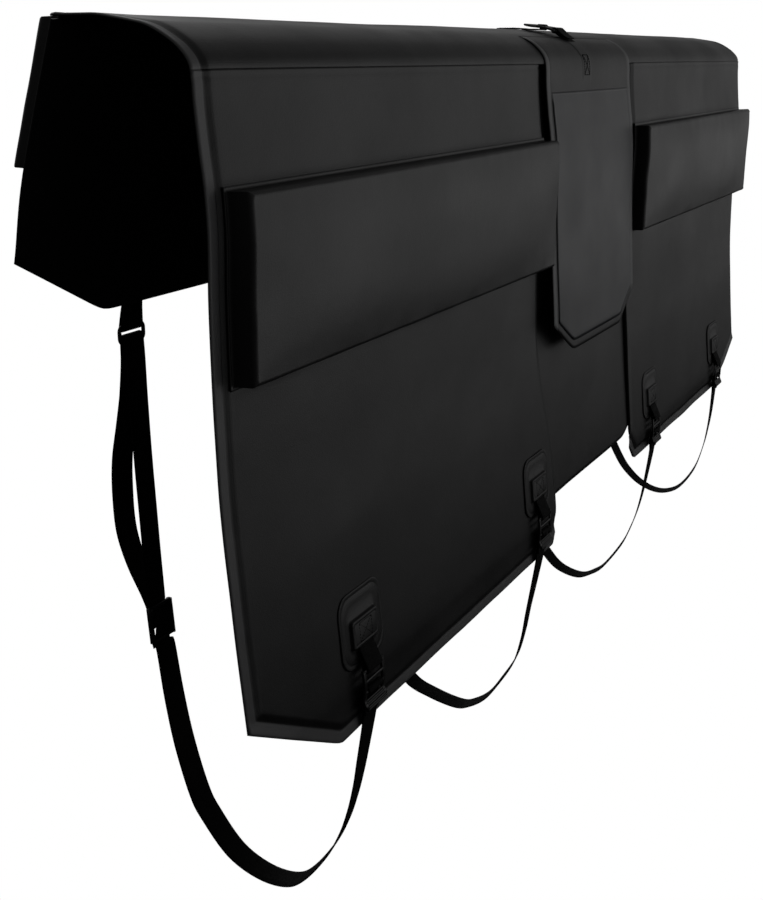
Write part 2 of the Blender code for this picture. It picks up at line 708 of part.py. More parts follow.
TOP_STACK = PANEL_SWELL + CLEARANCE + FLAP_THICKNESS
TOP_BUCKLE_LIFT = TOP_STACK + CLEARANCE + WEB_THICKNESS / 2 + BUCKLE_TURN


def top_buckle():
    """The ladder buckle on the ridge, its lip towards the rear."""
    start = COVER.at_y(TOP_BUCKLE_REACH)
    return ladder_buckle("top_buckle",
                         lambda x, along, lift: on_cover(TAB_CENTRE + x, start - along, TOP_BUCKLE_LIFT + lift))


def flap_tab():
    """Webbing from its stitched box on the flap, up over the shoulder and round the buckle's bar."""
    start = COVER.at_drop(TAB_DROP)
    bar = COVER.at_y(TOP_BUCKLE_REACH) - BUCKLE_BAR / 2
    lower = TOP_STACK + CLEARANCE + WEB_THICKNESS / 2
    leave = bar + BUCKLE_TURN * 1.5
    route = []
    for position in [start] + COVER.folds(leave, start)[::-1] + [leave]:
        extra = flap_offset(-COVER.at(position)[1]) - flap_offset(0.0)
        route.append((position, lower + extra))
    turn = arc(bar, TOP_BUCKLE_LIFT, BUCKLE_TURN, -70, -290, 8)
    route += turn
    back = bar + BUCKLE_TURN
    route += [(back + 0.004, lower + WEB_STEP * 1.7), (back + 0.009, lower + WEB_STEP),
              (back + 0.014, lower + WEB_STEP)]
    points = [on_cover(TAB_CENTRE, position, level) for position, level in route]
    return webbing("flap_tab", points, straight_half)


def friction_bar():
    edges, _ = buckle_stations()
    return (edges[4] + edges[5]) / 2


def strap_end_route(tail):
    """A strap's end in a ladder buckle, by length and height: behind the lip, round the bar, tail down."""
    bar = friction_bar()
    near = -BUCKLE_THICKNESS / 2 - CLEARANCE - WEB_THICKNESS / 2
    far = near - WEB_STEP
    route = [(bar + 0.030, far - CLEARANCE * 2), (bar + 0.020, far - CLEARANCE * 2),
             (bar + 0.011, far - CLEARANCE * 2), (bar + 0.0060, far - CLEARANCE),
             (bar + 0.0030, far + WEB_THICKNESS * 0.4)]
    route += arc(bar, 0.0, BUCKLE_TURN, -105, -375, 9)
    if tail:
        route += [(bar + 0.0062, near * 0.92), (bar + 0.0100, near - CLEARANCE * 0.3), (bar + 0.018, near),
                  (bar + 0.024, near)]
    return route


STRAP_LOW_ROUTES = (
    ((0.1658, -0.5376), (0.1596, -0.5851), (0.1512, -0.6330), (0.1380, -0.6810), (0.1269, -0.7040),
     (0.1013, -0.7358), (0.0710, -0.7508), (0.0429, -0.7514), (0.0244, -0.7387), (0.0030, -0.7090),
     (-0.0100, -0.6814), (-0.0178, -0.6557), (-0.0231, -0.6311), (-0.0270, -0.6075)),
    ((0.1660, -0.5376), (0.1625, -0.5980), (0.1570, -0.6610), (0.1465, -0.7130), (0.1219, -0.7519),
     (0.0920, -0.7656), (0.0589, -0.7725), (0.0423, -0.7685), (0.0239, -0.7553), (0.0084, -0.7330),
     (-0.0090, -0.7016), (-0.0175, -0.6686), (-0.0220, -0.6377), (-0.0272, -0.6067)),
    ((0.1658, -0.5376), (0.1620, -0.5950), (0.1540, -0.6550), (0.1400, -0.7080), (0.1133, -0.7460),
     (0.0916, -0.7667), (0.0619, -0.7747), (0.0410, -0.7662), (0.0248, -0.7524), (0.0015, -0.7169),
     (-0.0095, -0.6909), (-0.0178, -0.6643), (-0.0240, -0.6348), (-0.0285, -0.6048)),
    ((0.1658, -0.5376), (0.1590, -0.5850), (0.1480, -0.6300), (0.1350, -0.6650), (0.1150, -0.7034),
     (0.0994, -0.7238), (0.0798, -0.7405), (0.0562, -0.7510), (0.0332, -0.7512), (0.0100, -0.7382),
     (-0.0120, -0.7040), (-0.0238, -0.6633), (-0.0287, -0.6330), (-0.0316, -0.6048)))

# The doubled stretch behind: the outer layer bows away from the inner one
INNER_LAYER = ((0.1803, -0.2760), (0.1801, -0.3033), (0.1795, -0.3350), (0.1786, -0.3676), (0.1768, -0.4114),
               (0.1752, -0.4500))
OUTER_LAYER = ((0.1868, -0.2760), (0.1903, -0.3040), (0.1948, -0.3300), (0.2012, -0.3620), (0.2035, -0.3930),
               (0.2022, -0.4300), (0.1935, -0.4600), (0.1805, -0.4860))


def slider_place(x, down, lift):
    """A point by a slider's middle: down along it and out towards the rear."""
    lean = 0.08
    return (x, SLIDER_Y - lean * down + lift, -SLIDER_DROP - down - lean * lift)


def strap_route(index):
    """One webbing strap from its end on the slider, up to the ring, back down and to the buckle."""
    front = ANCHOR_STATIONS[index]
    back = front + REAR_STATION_SHIFT
    turn = math.hypot(SLIDER_BAR, SLIDER_THICKNESS) / 2 - PLASTIC_EDGE * 0.5 + CLEARANCE + WEB_THICKNESS / 2
    over = turn + WEB_STEP
    face = SLIDER_THICKNESS / 2 + CLEARANCE + WEB_THICKNESS / 2
    end_bar = SLIDER_HEIGHT / 2 - SLIDER_BAR / 2
    hook = arc(0.0, 0.0, turn, -105, 90, 8)
    hook += [(-turn * 1.1, turn * 1.1), (-0.0085, turn + WEB_STEP * 0.75), (-end_bar, turn + WEB_STEP * 1.1)]
    thread = [(-end_bar - 0.007, face), (-end_bar - 0.0015, turn)]
    thread += arc(-end_bar, 0.0, turn, 80, 5, 3)
    thread += [(-end_bar * 0.56, -turn * 0.8)]
    thread += arc(0.0, 0.0, over, -135, -45, 4)
    thread += [(end_bar * 0.56, -turn * 0.8)]
    thread += arc(end_bar, 0.0, turn, 175, 100, 3)
    thread += [(end_bar + 0.0015, turn), (end_bar + 0.007, face)]
    _, ring_y, ring_z = ring_centre(index)
    bar_z = ring_z - RING_HEIGHT / 2
    wire_turn = RING_WIRE / 2 + CLEARANCE + WEB_THICKNESS / 2
    route = [slider_place(back, down, lift) for down, lift in hook]
    route += [(back, y, z) for y, z in reversed(OUTER_LAYER)]
    for y, z in arc(ring_y, bar_z, wire_turn, -8, 188, 7):
        route.append((back, y, z))
    route += [(back, y, z) for y, z in INNER_LAYER]
    route += [slider_place(back, down, lift) for down, lift in thread]
    turns = [0.0] * len(route)
    low = STRAP_LOW_ROUTES[index]
    for k, (y, z) in enumerate(low):
        share = (k + 1) / (len(low) + 1)
        route.append((back + (front - back) * smoothstep(share), y, z))
        turns.append(-STRAP_TWIST * math.sin(2 * math.pi * share))
    points = [row(*p) for p in route]
    middle = PANEL_SWELL + BUCKLE_LIFT
    for down, lift in strap_end_route(True):
        points.append(on_front(front, BUCKLE_TOP_DROP + down, middle + lift))
        turns.append(0.0)
    halves = [Vector((math.cos(t), math.sin(t), 0.0)) * (WEB_WIDTH / 2) for t in turns]
    return points, halves


def strap(index):
    points, halves = strap_route(index)
    return webbing(f"strap_{index + 1}", points, lambda k: halves[k])


def ring_centre(index):
    x = ANCHOR_STATIONS[index] + REAR_STATION_SHIFT
    return (x, 0.1835, -RING_TOP_DROP - RING_HEIGHT / 2)


def rear_ring(index):
    """A rectangular wire loop: a closed curve with a round section."""
    curve = bpy.data.curves.new(f"rear_ring_{index + 1}", "CURVE")
    curve.dimensions = "3D"
    curve.bevel_depth = RING_WIRE / 2
    curve.bevel_resolution = 2
    curve.resolution_u = 1
    outline = rounded_outline(RING_WIDTH, RING_HEIGHT, RING_WIRE, steps=3)
    spline = curve.splines.new("POLY")
    spline.points.add(len(outline) - 1)
    for point, (x, z) in zip(spline.points, outline):
        point.co = (x, 0.0, z, 1.0)
    spline.use_cyclic_u = True
    thing = bpy.data.objects.new(f"rear_ring_{index + 1}", curve)
    thing.location = row(*ring_centre(index))
    COLLECTION.objects.link(thing)
    curve.materials.append(new_material(thing.name, *MATERIALS["buckle_plastic"]))
    return thing


def rear_web(index):
    """Webbing stitched to the rear of the back panel, hanging under its edge round the ring."""
    x, ring_y, ring_z = ring_centre(index)
    bar_z = ring_z + RING_HEIGHT / 2
    turn = RING_WIRE / 2 + CLEARANCE + WEB_THICKNESS / 2
    first = CLEARANCE * 1.3 + WEB_THICKNESS / 2
    second = first + WEB_THICKNESS + CLEARANCE * 1.3
    drops = (BACK_DROP - REAR_STITCH, BACK_DROP - REAR_STITCH / 2, BACK_DROP + 0.001)
    route = [on_back(x, drop, first) for drop in drops]
    for y, z in arc(ring_y, bar_z, turn, 165, 375, 8):
        route.append(row(x, y, z))
    route += [on_back(x, drop, second) for drop in drops[::-1]]
    return webbing(f"rear_web_{index + 1}", route, straight_half)


def slider(index):
    """A three-bar webbing slider, a flat frame with two slots."""
    x0 = ANCHOR_STATIONS[index] + REAR_STATION_SHIFT
    half = SLIDER_HEIGHT / 2
    slot_edge = SLIDER_BAR / 2
    edges = [-half, -half + SLIDER_BAR, -slot_edge, slot_edge, half - SLIDER_BAR, half]
    side = SLIDER_WIDTH / 2
    inner = side - SLIDER_BAR * 0.7
    rows = [[row(*slider_place(x0 + x, edge, SLIDER_THICKNESS / 2)) for x in (-side, -inner, inner, side)]
            for edge in edges]
    thing = sheet(f"slider_{index + 1}", "buckle_plastic", rows, (0, 1, 0), SLIDER_THICKNESS,
                  skip={(1, 1), (3, 1)}, smooth=False)
    return round_edges(thing, PLASTIC_EDGE)


def centre_strap():
    """Webbing from the ridge buckle's bar back to its stitched end by the rear crease."""
    start = COVER.at_y(TOP_BUCKLE_REACH)
    floor = TOP_STACK + CLEARANCE + WEB_THICKNESS / 2
    seat = PANEL_SWELL + CLEARANCE + WEB_THICKNESS / 2
    end = start - COVER.at_y(CENTRE_STRAP_REACH)
    bar = friction_bar()
    route = [(end, seat), (bar + 0.026, seat), (bar + 0.018, seat), (bar + 0.012, seat + WEB_THICKNESS * 0.5),
             (bar + 0.006, floor - WEB_THICKNESS * 0.4), (bar + 0.002, floor)]
    route += [(down, TOP_BUCKLE_LIFT + lift) for down, lift in arc(bar, 0.0, BUCKLE_TURN, -105, -365, 9)]
    points = [on_cover(TAB_CENTRE, start - down, level) for down, level in route]
    return webbing("centre_strap", points, straight_half)


def build_pad():
    top_panel()
    back_panel()
    outer_left = (CORNER_LENGTH, FRONT_CORNER_RISE_LEFT)
    outer_right = (CORNER_LENGTH, FRONT_CORNER_RISE_RIGHT)
    inner = (INNER_CORNER, INNER_CORNER)
    front_panel("front_panel_left", 0.0, SIDE_PANEL_WIDTH, FRONT_DROP_LEFT, outer_left, inner, "far")
    front_panel("front_panel_right", PAD_LENGTH - SIDE_PANEL_WIDTH, PAD_LENGTH, FRONT_DROP_RIGHT,
                (INNER_CORNER * 2, INNER_CORNER * 2), outer_right, "near")
    centre_panel()
    bumpers()
    access_flap()
    flap_panel()
    flap_tab()
    top_buckle()
    centre_strap()
    for index, station in enumerate(ANCHOR_STATIONS):
        anchor_patch(f"anchor_patch_{index + 1}", station)
        anchor_web(f"anchor_web_{index + 1}", station)
        front_buckle(f"front_buckle_{index + 1}", station)
        strap(index)
        slider(index)
        rear_ring(index)
        rear_web(index)


build_pad()
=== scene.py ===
import bpy
import bmesh
import math
import numpy as np
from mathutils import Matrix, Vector, noise


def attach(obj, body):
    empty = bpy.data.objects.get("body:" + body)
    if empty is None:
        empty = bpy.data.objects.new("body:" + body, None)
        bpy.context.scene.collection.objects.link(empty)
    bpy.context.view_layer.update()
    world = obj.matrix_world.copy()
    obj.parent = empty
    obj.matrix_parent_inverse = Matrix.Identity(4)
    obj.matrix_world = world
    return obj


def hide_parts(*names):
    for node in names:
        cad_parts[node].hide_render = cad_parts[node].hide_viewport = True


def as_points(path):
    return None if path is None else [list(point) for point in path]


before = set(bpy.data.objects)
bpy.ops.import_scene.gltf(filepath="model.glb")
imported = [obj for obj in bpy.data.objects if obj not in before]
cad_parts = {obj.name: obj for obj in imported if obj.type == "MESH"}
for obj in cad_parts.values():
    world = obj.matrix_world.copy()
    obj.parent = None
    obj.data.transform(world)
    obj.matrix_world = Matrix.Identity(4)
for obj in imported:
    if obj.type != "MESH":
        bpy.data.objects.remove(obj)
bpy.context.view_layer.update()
scene = bpy.context.scene

# ---- sizes, as in the part
LENGTH = 1.570
ORIGIN = Vector((LENGTH / 2, 0.0905, -0.003))
GAP = 0.0003
SEAM = 0.036
SWELL = 0.002
SIDE_WIDTH = 0.6195
CENTRE_OVERLAP = 0.012
LEFT_DROP, RIGHT_DROP, CENTRE_DROP, BACK_DROP = 0.5736, 0.560, 0.518, 0.2240
LEFT_CORNER, RIGHT_CORNER, BACK_CORNER = (0.129, 0.0716), (0.129, 0.055), (0.113, 0.0540)
FLARE, FLARE_START, FLARE_DROP = 0.032, 0.323, 0.17
BLOCK_INSET, BLOCK_WIDTH, BLOCK_TOP, BLOCK_HEIGHT, BLOCK_DEPTH = 0.0184, 0.597, 0.113, 0.1325, 0.0190
BRIM = 0.003
FLAP_NEAR, FLAP_FAR, FLAP_REACH, FLAP_DROP, FLAP_T = 0.634, 0.934, 0.030, 0.353, 0.0018
FLAP_CORNER = (0.062, 0.038)
FILM_MARGIN, FILM_TOP, FILM_DROP, FILM_T, FILM_CORNER = 0.014, 0.065, 0.343, 0.0011, 0.048
STATIONS = (0.173, 0.589, 1.044, 1.418)
SHIFT = -0.018
WEB, WEB_T = 0.025, 0.0014
WEB_STEP = WEB_T + GAP
BAR, PLATE, SLOT, LIP = 0.0032, 0.0026, 0.0058, 0.008
BUCKLE_W, BUCKLE_RAIL, BUCKLE_LIP_BAR = 0.037, 0.0045, 0.0021
TURN = math.hypot(BAR, PLATE) / 2 - 0.00035 + GAP + WEB_T / 2
FRICTION = BAR * 2.5 + SLOT * 2
BUCKLE_DROP, BUCKLE_MID = 0.5185, SWELL + 0.0075
PATCH_DROP, PATCH_W, PATCH_H, PATCH_T, PATCH_R = 0.4505, 0.074, 0.066, 0.0012, 0.016
POCKET_MID, POCKET_RISE = 0.4870, 0.0033
POCKET_FACE = SWELL + GAP + PATCH_T + POCKET_RISE
SLIDER_Y, SLIDER_DROP, SLIDER_LEAN = 0.1690, 0.514, 0.08
SLIDER_H, SLIDER_W, SLIDER_RAIL = 0.034, 0.032, 0.0034
RING_Y, RING_DROP, RING_H, RING_W, RING_R, RING_WIRE = 0.1835, 0.244, 0.0145, 0.032, 0.0046, 0.0034
TAB_X = 0.766
RIDGE_BUCKLE_Y, STRAP_END_Y = 0.034, 0.103
PITCH = 0.0045


def row(x, y, z):
    """The scene's place for a point measured from the near end of the ridge."""
    return Vector((x, y, z)) - ORIGIN


# ---- camera
cam = bpy.data.objects.new("camera", bpy.data.cameras.new("camera"))
scene.collection.objects.link(cam)
cam.location = row(-0.6971, -0.4919, -0.0273)
yaw, pitch = math.radians(27.1804), math.radians(-17.0878)
look = Vector((math.cos(yaw) * math.cos(pitch), math.sin(yaw) * math.cos(pitch), math.sin(pitch)))
cam.rotation_euler = look.to_track_quat("-Z", "Y").to_euler()
cam.data.lens = 51.279
cam.data.sensor_width = 36
cam.data.clip_start = 0.01
scene.camera = cam
scene.view_settings.view_transform = "Standard"

# ---- the folded section, as (y, z)
RIDGE = ((0.1129, 0.0), (0.0960, 0.0), (0.0820, 0.0))
SHOULDER = (
    (0.0790, 0.0), (0.0711, -0.0008), (0.0598, -0.0025), (0.0471, -0.0045), (0.0370, -0.0066),
    (0.0278, -0.0102), (0.0172, -0.0160), (0.0100, -0.0213), (0.0048, -0.0268), (0.0016, -0.0330),
    (0.0003, -0.0419))
FRONT = (
    (-0.0002, -0.0540), (-0.0015, -0.0695), (-0.0035, -0.0890), (-0.0058, -0.1085), (-0.0072, -0.1310),
    (-0.0073, -0.1488), (-0.0063, -0.1807), (-0.0062, -0.2132), (-0.0066, -0.2547), (-0.0075, -0.2888),
    (-0.0087, -0.3236), (-0.0112, -0.3588), (-0.0146, -0.3947), (-0.0187, -0.4390), (-0.0272, -0.5200),
    (-0.0281, -0.5450), (-0.0290, -0.6000))
BACK = ((0.1127, 0.0), (0.1490, -0.1063), (0.1634, -0.1687), (0.1785, -0.2217), (0.1855, -0.2460))


def spline(p0, p1, p2, p3, t):
    """A point of the smooth curve from p1 to p2."""
    return 0.5 * (2 * p1 + (p2 - p0) * t + (2 * p0 - 5 * p1 + 4 * p2 - p3) * t * t
                  + (3 * p1 - p0 - 3 * p2 + p3) * t ** 3)


def smooth_route(points, per_span):
    """A smooth curve through the route points, stepped evenly inside each span."""
    route = [Vector(p) for p in points]
    fine = []
    for i in range(len(route) - 1):
        before = route[i - 1] if i else route[0] * 2 - route[1]
        after = route[i + 2] if i + 2 < len(route) else route[-1] * 2 - route[-2]
        for k in range(per_span):
            fine.append(spline(before, route[i], route[i + 1], after, k / per_span))
    fine.append(route[-1])
    return fine


def step(value):
    """A smooth rise from 0 to 1."""
    value = min(max(value, 0.0), 1.0)
    return value * value * (3 - 2 * value)


class Section:
    """A smooth section through (y, z) knots, read by arc length, drop or y, with its outward normal."""

    def __init__(self, knots):
        fine = smooth_route([(0.0, y, z) for y, z in knots], 10)
        self.y = np.array([p.y for p in fine])
        self.z = np.array([p.z for p in fine])
        self.s = np.concatenate([[0.0], np.cumsum(np.hypot(np.diff(self.y), np.diff(self.z)))])
        gy = np.gradient(self.y, self.s)
        gz = np.gradient(self.z, self.s)
        kernel = np.ones(5) / 5
        gy = np.convolve(np.pad(gy, 2, mode="edge"), kernel, mode="valid")
        gz = np.convolve(np.pad(gz, 2, mode="edge"), kernel, mode="valid")
        size = np.hypot(gy, gz)
        self.ny = gz / size
        self.nz = -gy / size

    def at(self, s, off=0.0):
        y = np.interp(s, self.s, self.y) + off * np.interp(s, self.s, self.ny)
        z = np.interp(s, self.s, self.z) + off * np.interp(s, self.s, self.nz)
        return float(y), float(z)

    def drop(self, s):
        return float(-np.interp(s, self.s, self.z))

    def at_drop(self, drop):
        steep = self.z < -0.02
        return float(np.interp(drop, -self.z[steep], self.s[steep]))

    def at_y(self, y):
        upper = self.z > -0.02
        return float(np.interp(-y, -self.y[upper], self.s[upper]))


COVER = Section(RIDGE + SHOULDER + FRONT)
REAR = Section(BACK)
RIDGE_START = COVER.at_y(RIDGE_BUCKLE_Y)


def front(x, drop, off):
    """A point of the cover by its drop below the ridge and its height off the cloth."""
    y, z = COVER.at(COVER.at_drop(drop), off)
    return row(x, y, z)


def cover(x, s, off):
    """A point of the cover by its distance along the section and its height off the cloth."""
    y, z = COVER.at(s, off)
    return row(x, y, z)


def back(x, drop, off):
    """A point of the back panel by its drop and its horizontal height off the cloth."""
    y = float(np.interp(drop, [-z for _, z in BACK], [y for y, _ in BACK]))
    return row(x, y + off, -drop)


# ---- piece helpers
def new_piece(name, bm, material, nodes=()):
    """A smooth-shaded piece of the scene from a bmesh, in place of the nodes it stands for."""
    mesh = bpy.data.meshes.new(name)
    bmesh.ops.recalc_face_normals(bm, faces=bm.faces)
    bm.to_mesh(mesh)
    bm.free()
    piece = bpy.data.objects.new(name, mesh)
    scene.collection.objects.link(piece)
    mesh.materials.append(material)
    mesh.polygons.foreach_set("use_smooth", [True] * len(mesh.polygons))
    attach(piece, "root")
    if nodes:
        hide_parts(*nodes)
    return piece


def bridge(bm, rings, closed=False):
    """Faces between rings of vertices, one after another; their ends are capped unless the rings close."""
    count = len(rings[0])
    for a, b in zip(rings, rings[1:] + rings[:1] if closed else rings[1:]):
        for i in range(count):
            bm.faces.new((a[i], a[(i + 1) % count], b[(i + 1) % count], b[i]))
    if not closed:
        bm.faces.new(rings[0])
        bm.faces.new(rings[-1])


def sheet_piece(name, node, material, rows, columns, at):
    """A sheet closed round its rim; at(row, column) gives its outer point, inner point and the share of painted hem
    highlight. The inner points are marked as lining, for painted shade.
    """
    bm = bmesh.new()
    hem = bm.verts.layers.float.new("hem")
    lining = bm.verts.layers.float.new("lining")
    grid = [[at(row, column) for column in columns] for row in rows]
    a = [[bm.verts.new(point[0]) for point in line] for line in grid]
    b = [[bm.verts.new(point[1]) for point in line] for line in grid]
    for j, line in enumerate(grid):
        for i, point in enumerate(line):
            a[j][i][hem] = point[2]
            b[j][i][lining] = 1.0
    rows, cols = len(a), len(a[0])
    for j in range(rows - 1):
        for i in range(cols - 1):
            bm.faces.new((a[j][i], a[j][i + 1], a[j + 1][i + 1], a[j + 1][i]))
            bm.faces.new((b[j][i], b[j + 1][i], b[j + 1][i + 1], b[j][i + 1]))
    rim = [(0, i) for i in range(cols)] + [(j, cols - 1) for j in range(1, rows)]
    rim += [(rows - 1, i) for i in range(cols - 2, -1, -1)] + [(j, 0) for j in range(rows - 2, 0, -1)]
    for (j0, i0), (j1, i1) in zip(rim, rim[1:] + rim[:1]):
        bm.faces.new((a[j0][i0], b[j0][i0], b[j1][i1], a[j1][i1]))
    return new_piece(name, bm, material, [node])


def spaced(start, end, pitch):
    """Even places from start to end at about the pitch."""
    count = max(int(round((end - start) / pitch)), 2)
    return [start + (end - start) * k / count for k in range(count + 1)]


def edge_spaced(start, end, pitch, fine=0.0014, reach=0.018):
    """Grid lines that crowd towards both ends, where the hems are."""
    lines = spaced(start, start + reach, fine)[:-1] + spaced(start + reach, end - reach, pitch)
    return lines + spaced(end - reach, end, fine)[1:]


def ripple(x, s, seed):
    """Slow waves in a hanging panel, a millimetre or so high."""
    slow = noise.noise(Vector((x * 4.1, s * 5.3, seed)))
    slant = noise.noise(Vector((x * 9.0 + s * 6.0, s * 7.0 - x * 3.0, seed + 7.3)))
    fine = noise.noise(Vector((x * 24.0, s * 24.0, seed + 3.1)))
    return 0.0016 * slow + 0.0007 * slant + 0.00022 * fine


def field(e):
    """0 on the welded hem, rising to 1 on the padded field inside it, by the distance from the edge."""
    return step((e - 0.0112) / 0.0065)


def hem_profile(e, x, s, seed):
    """Height of the outer face over the hem, by the distance from the sheet's edge."""
    rounded = -0.0009 * (1 - min(e / 0.0012, 1.0)) ** 2
    weld = -0.0005 * math.exp(-((e - 0.0108) / 0.0009) ** 2)
    pucker = 0.00030 * noise.noise(Vector((x * 60.0, s * 60.0, seed))) * math.exp(-abs(e - 0.012) / 0.010)
    return rounded + weld + pucker + SWELL * field(e)


def hem_share(e):
    """1 on the welded hem strip, falling to 0 at its inner line; it sets where the painted hem highlight lies."""
    return 1.0 - step((e - 0.0095) / 0.0022)


def inner_profile(e):
    """Height of the inner face: a thin hem and a thicker field."""
    return -0.0018 - 0.0012 * field(e)


def soft_min(values, radius):
    """The least of the values, with the corner between them rounded."""
    low = min(values)
    return low - radius * math.log(sum(math.exp(-(v - low) / radius) for v in values))


# ---- materials
class Graph:
    """The nodes of a material or a world, with short ways to add and join them."""

    def __init__(self, tree):
        self.nodes = tree.nodes
        self.link = tree.links.new

    def new(self, kind):
        return self.nodes.new("ShaderNode" + kind)

    def feed(self, socket, value):
        """A number or a colour set on a socket, or another socket linked to it."""
        if isinstance(value, bpy.types.NodeSocket):
            self.link(value, socket)
        else:
            socket.default_value = (*value, 1.0) if isinstance(value, tuple) else value

    def math(self, kind, a, b):
        node = self.new("Math")
        node.operation = kind
        self.feed(node.inputs[0], a)
        self.feed(node.inputs[1], b)
        return node.outputs[0]

    def noise(self, vector, scale, detail=2.0, rough=0.5):
        node = self.new("TexNoise")
        for key, value in (("Vector", vector), ("Scale", scale), ("Detail", detail), ("Roughness", rough)):
            self.feed(node.inputs[key], value)
        return node.outputs["Fac"]

    def ramp(self, value, low, high, a, b):
        """A value from low to high turned into a to b."""
        node = self.new("MapRange")
        for key, given in (("Value", value), ("From Min", low), ("From Max", high), ("To Min", a), ("To Max", b)):
            self.feed(node.inputs[key], given)
        return node.outputs["Result"]

    def mix(self, factor, a, b):
        """Two colours mixed by a factor."""
        node = self.new("Mix")
        node.data_type = "RGBA"
        for key, value in (("Factor", factor), ("A", a), ("B", b)):
            self.feed(node.inputs[key], value)
        return node.outputs["Result"]

    def named(self, name):
        """A value that the mesh carries at its points."""
        node = self.new("Attribute")
        node.attribute_name = name
        return node.outputs

    def axes(self, vector):
        """The x, y and z of a vector."""
        node = self.new("SeparateXYZ")
        self.link(vector, node.inputs[0])
        return node.outputs

    def bumps(self, shader, layers):
        """Bumps laid one over another, each as (height, strength, distance)."""
        last = None
        for height, strength, distance in layers:
            node = self.new("Bump")
            node.inputs["Strength"].default_value = strength
            node.inputs["Distance"].default_value = distance
            self.link(height, node.inputs["Height"])
            if last:
                self.link(last, node.inputs["Normal"])
            last = node.outputs["Normal"]
        self.link(last, shader.inputs["Normal"])


def new_material(name):
    """A material, its graph, its shader and the object's own coordinates."""
    material = bpy.data.materials.new(name)
    material.use_nodes = True
    g = Graph(material.node_tree)
    return material, g, g.nodes["Principled BSDF"], g.new("TexCoord").outputs["Object"]


# painted highlight: the pale grey that the hem strips are mixed towards, for light caught on the upturned hems
HEM_HIGHLIGHT_COLOUR = (0.105, 0.105, 0.107)
# painted shade: the near-black that the inner faces are mixed towards, for the shade inside the cover
LINING_SHADE_COLOUR = (0.0050, 0.0050, 0.0052)


def coated_cloth(name, dark, light, rough, specular, grain):
    """Coated cloth: fine grain over a faint weave, scuffed in places, with a painted highlight on its hems and
    painted shade on its duller lining.
    """
    material, g, shader, place = new_material(name)
    blotch = g.noise(place, 7.0, 4.0, 0.55)
    speck = g.noise(place, 900.0, 2.0)
    pebble = g.new("TexVoronoi")
    pebble.inputs["Scale"].default_value = 760.0
    g.link(place, pebble.inputs["Vector"])
    hem = g.named("hem")["Fac"]
    lining = g.named("lining")["Fac"]
    colour = g.mix(g.ramp(blotch, 0.3, 0.7, 0.0, 1.0), dark, light)
    # painted highlight: the hem strips are mixed towards a pale grey
    colour = g.mix(hem, colour, HEM_HIGHLIGHT_COLOUR)
    # painted shade: the lining is mixed towards near-black; below it is also made rougher
    g.link(g.mix(lining, colour, LINING_SHADE_COLOUR), shader.inputs["Base Color"])
    scuff = g.ramp(blotch, 0.25, 0.75, rough - 0.05, rough + 0.07)
    scuff = g.math("ADD", scuff, g.math("MULTIPLY", speck, 0.08))
    g.link(g.math("ADD", scuff, g.math("MULTIPLY", lining, 0.4)),
              shader.inputs["Roughness"])
    shader.inputs["Specular IOR Level"].default_value = specular
    weave_x = g.new("TexWave")
    weave_x.bands_direction = "X"
    weave_z = g.new("TexWave")
    weave_z.bands_direction = "Z"
    for weave in (weave_x, weave_z):
        weave.inputs["Scale"].default_value = 190.0
        weave.inputs["Distortion"].default_value = 0.6
        g.link(place, weave.inputs["Vector"])
    woven = g.math("MULTIPLY", weave_x.outputs["Fac"], weave_z.outputs["Fac"])
    g.bumps(shader, (
        (g.noise(place, 34.0, 3.0), 0.30, 0.0010),
        (woven, 0.10, 0.00025),
        (pebble.outputs["Distance"], grain, 0.00035),
        (speck, grain * 0.8, 0.00020)))
    return material


def webbing_material(name):
    """Woven webbing: ribs along it and picks across it, from its own length and width."""
    material, g, shader, place = new_material(name)
    along, across, _ = g.axes(g.named("lay")["Vector"])
    folded = g.math("PINGPONG", across, 0.0031)
    slant = g.math("ADD", along, g.math("MULTIPLY", folded, 0.8))
    ribs = g.math("SINE", g.math("MULTIPLY", slant, 2 * math.pi / 0.0017), 0.0)
    picks = g.math("SINE", g.math("MULTIPLY", across, 2 * math.pi / 0.0013), 0.0)
    weave = g.math("ADD", ribs, g.math("MULTIPLY", picks, 0.6))
    fuzz = g.noise(place, 700.0, 3.0)
    g.link(g.mix(g.ramp(weave, -1.2, 1.4, 0.0, 1.0),
                        (0.0012, 0.0012, 0.0013), (0.0038, 0.0038, 0.0040)), shader.inputs["Base Color"])
    g.link(g.ramp(fuzz, 0.2, 0.8, 0.66, 0.86), shader.inputs["Roughness"])
    shader.inputs["Specular IOR Level"].default_value = 0.12
    shader.inputs["Sheen Weight"].default_value = 0.01
    shader.inputs["Sheen Roughness"].default_value = 0.5
    g.bumps(shader, ((weave, 0.55, 0.00022), (fuzz, 0.25, 0.0002)))
    return material


def plastic_material(name):
    """Moulded black plastic with a fine eggshell grain and uneven wear in its tone and gloss."""
    material, g, shader, place = new_material(name)
    grain = g.noise(place, 1500.0, 2.0)
    wear = g.noise(place, 60.0, 3.0)
    g.link(g.mix(wear, (0.0022, 0.0022, 0.0024), (0.0045, 0.0045, 0.0048)),
              shader.inputs["Base Color"])
    g.link(g.ramp(wear, 0.3, 0.7, 0.28, 0.42), shader.inputs["Roughness"])
    shader.inputs["Specular IOR Level"].default_value = 0.5
    g.bumps(shader, ((grain, 0.18, 0.0001),))
    return material


def film_material(name):
    """Smooth laminated film, cooler than the cloth, with the faintest orange peel."""
    material, g, shader, place = new_material(name)
    peel = g.noise(place, 260.0, 2.0)
    haze = g.noise(place, 11.0, 3.0)
    g.link(g.mix(haze, (0.0125, 0.0135, 0.0170), (0.0165, 0.0180, 0.0225)),
              shader.inputs["Base Color"])
    g.link(g.ramp(haze, 0.3, 0.7, 0.36, 0.46), shader.inputs["Roughness"])
    shader.inputs["Specular IOR Level"].default_value = 0.58
    g.bumps(shader, ((peel, 0.08, 0.0002),))
    return material


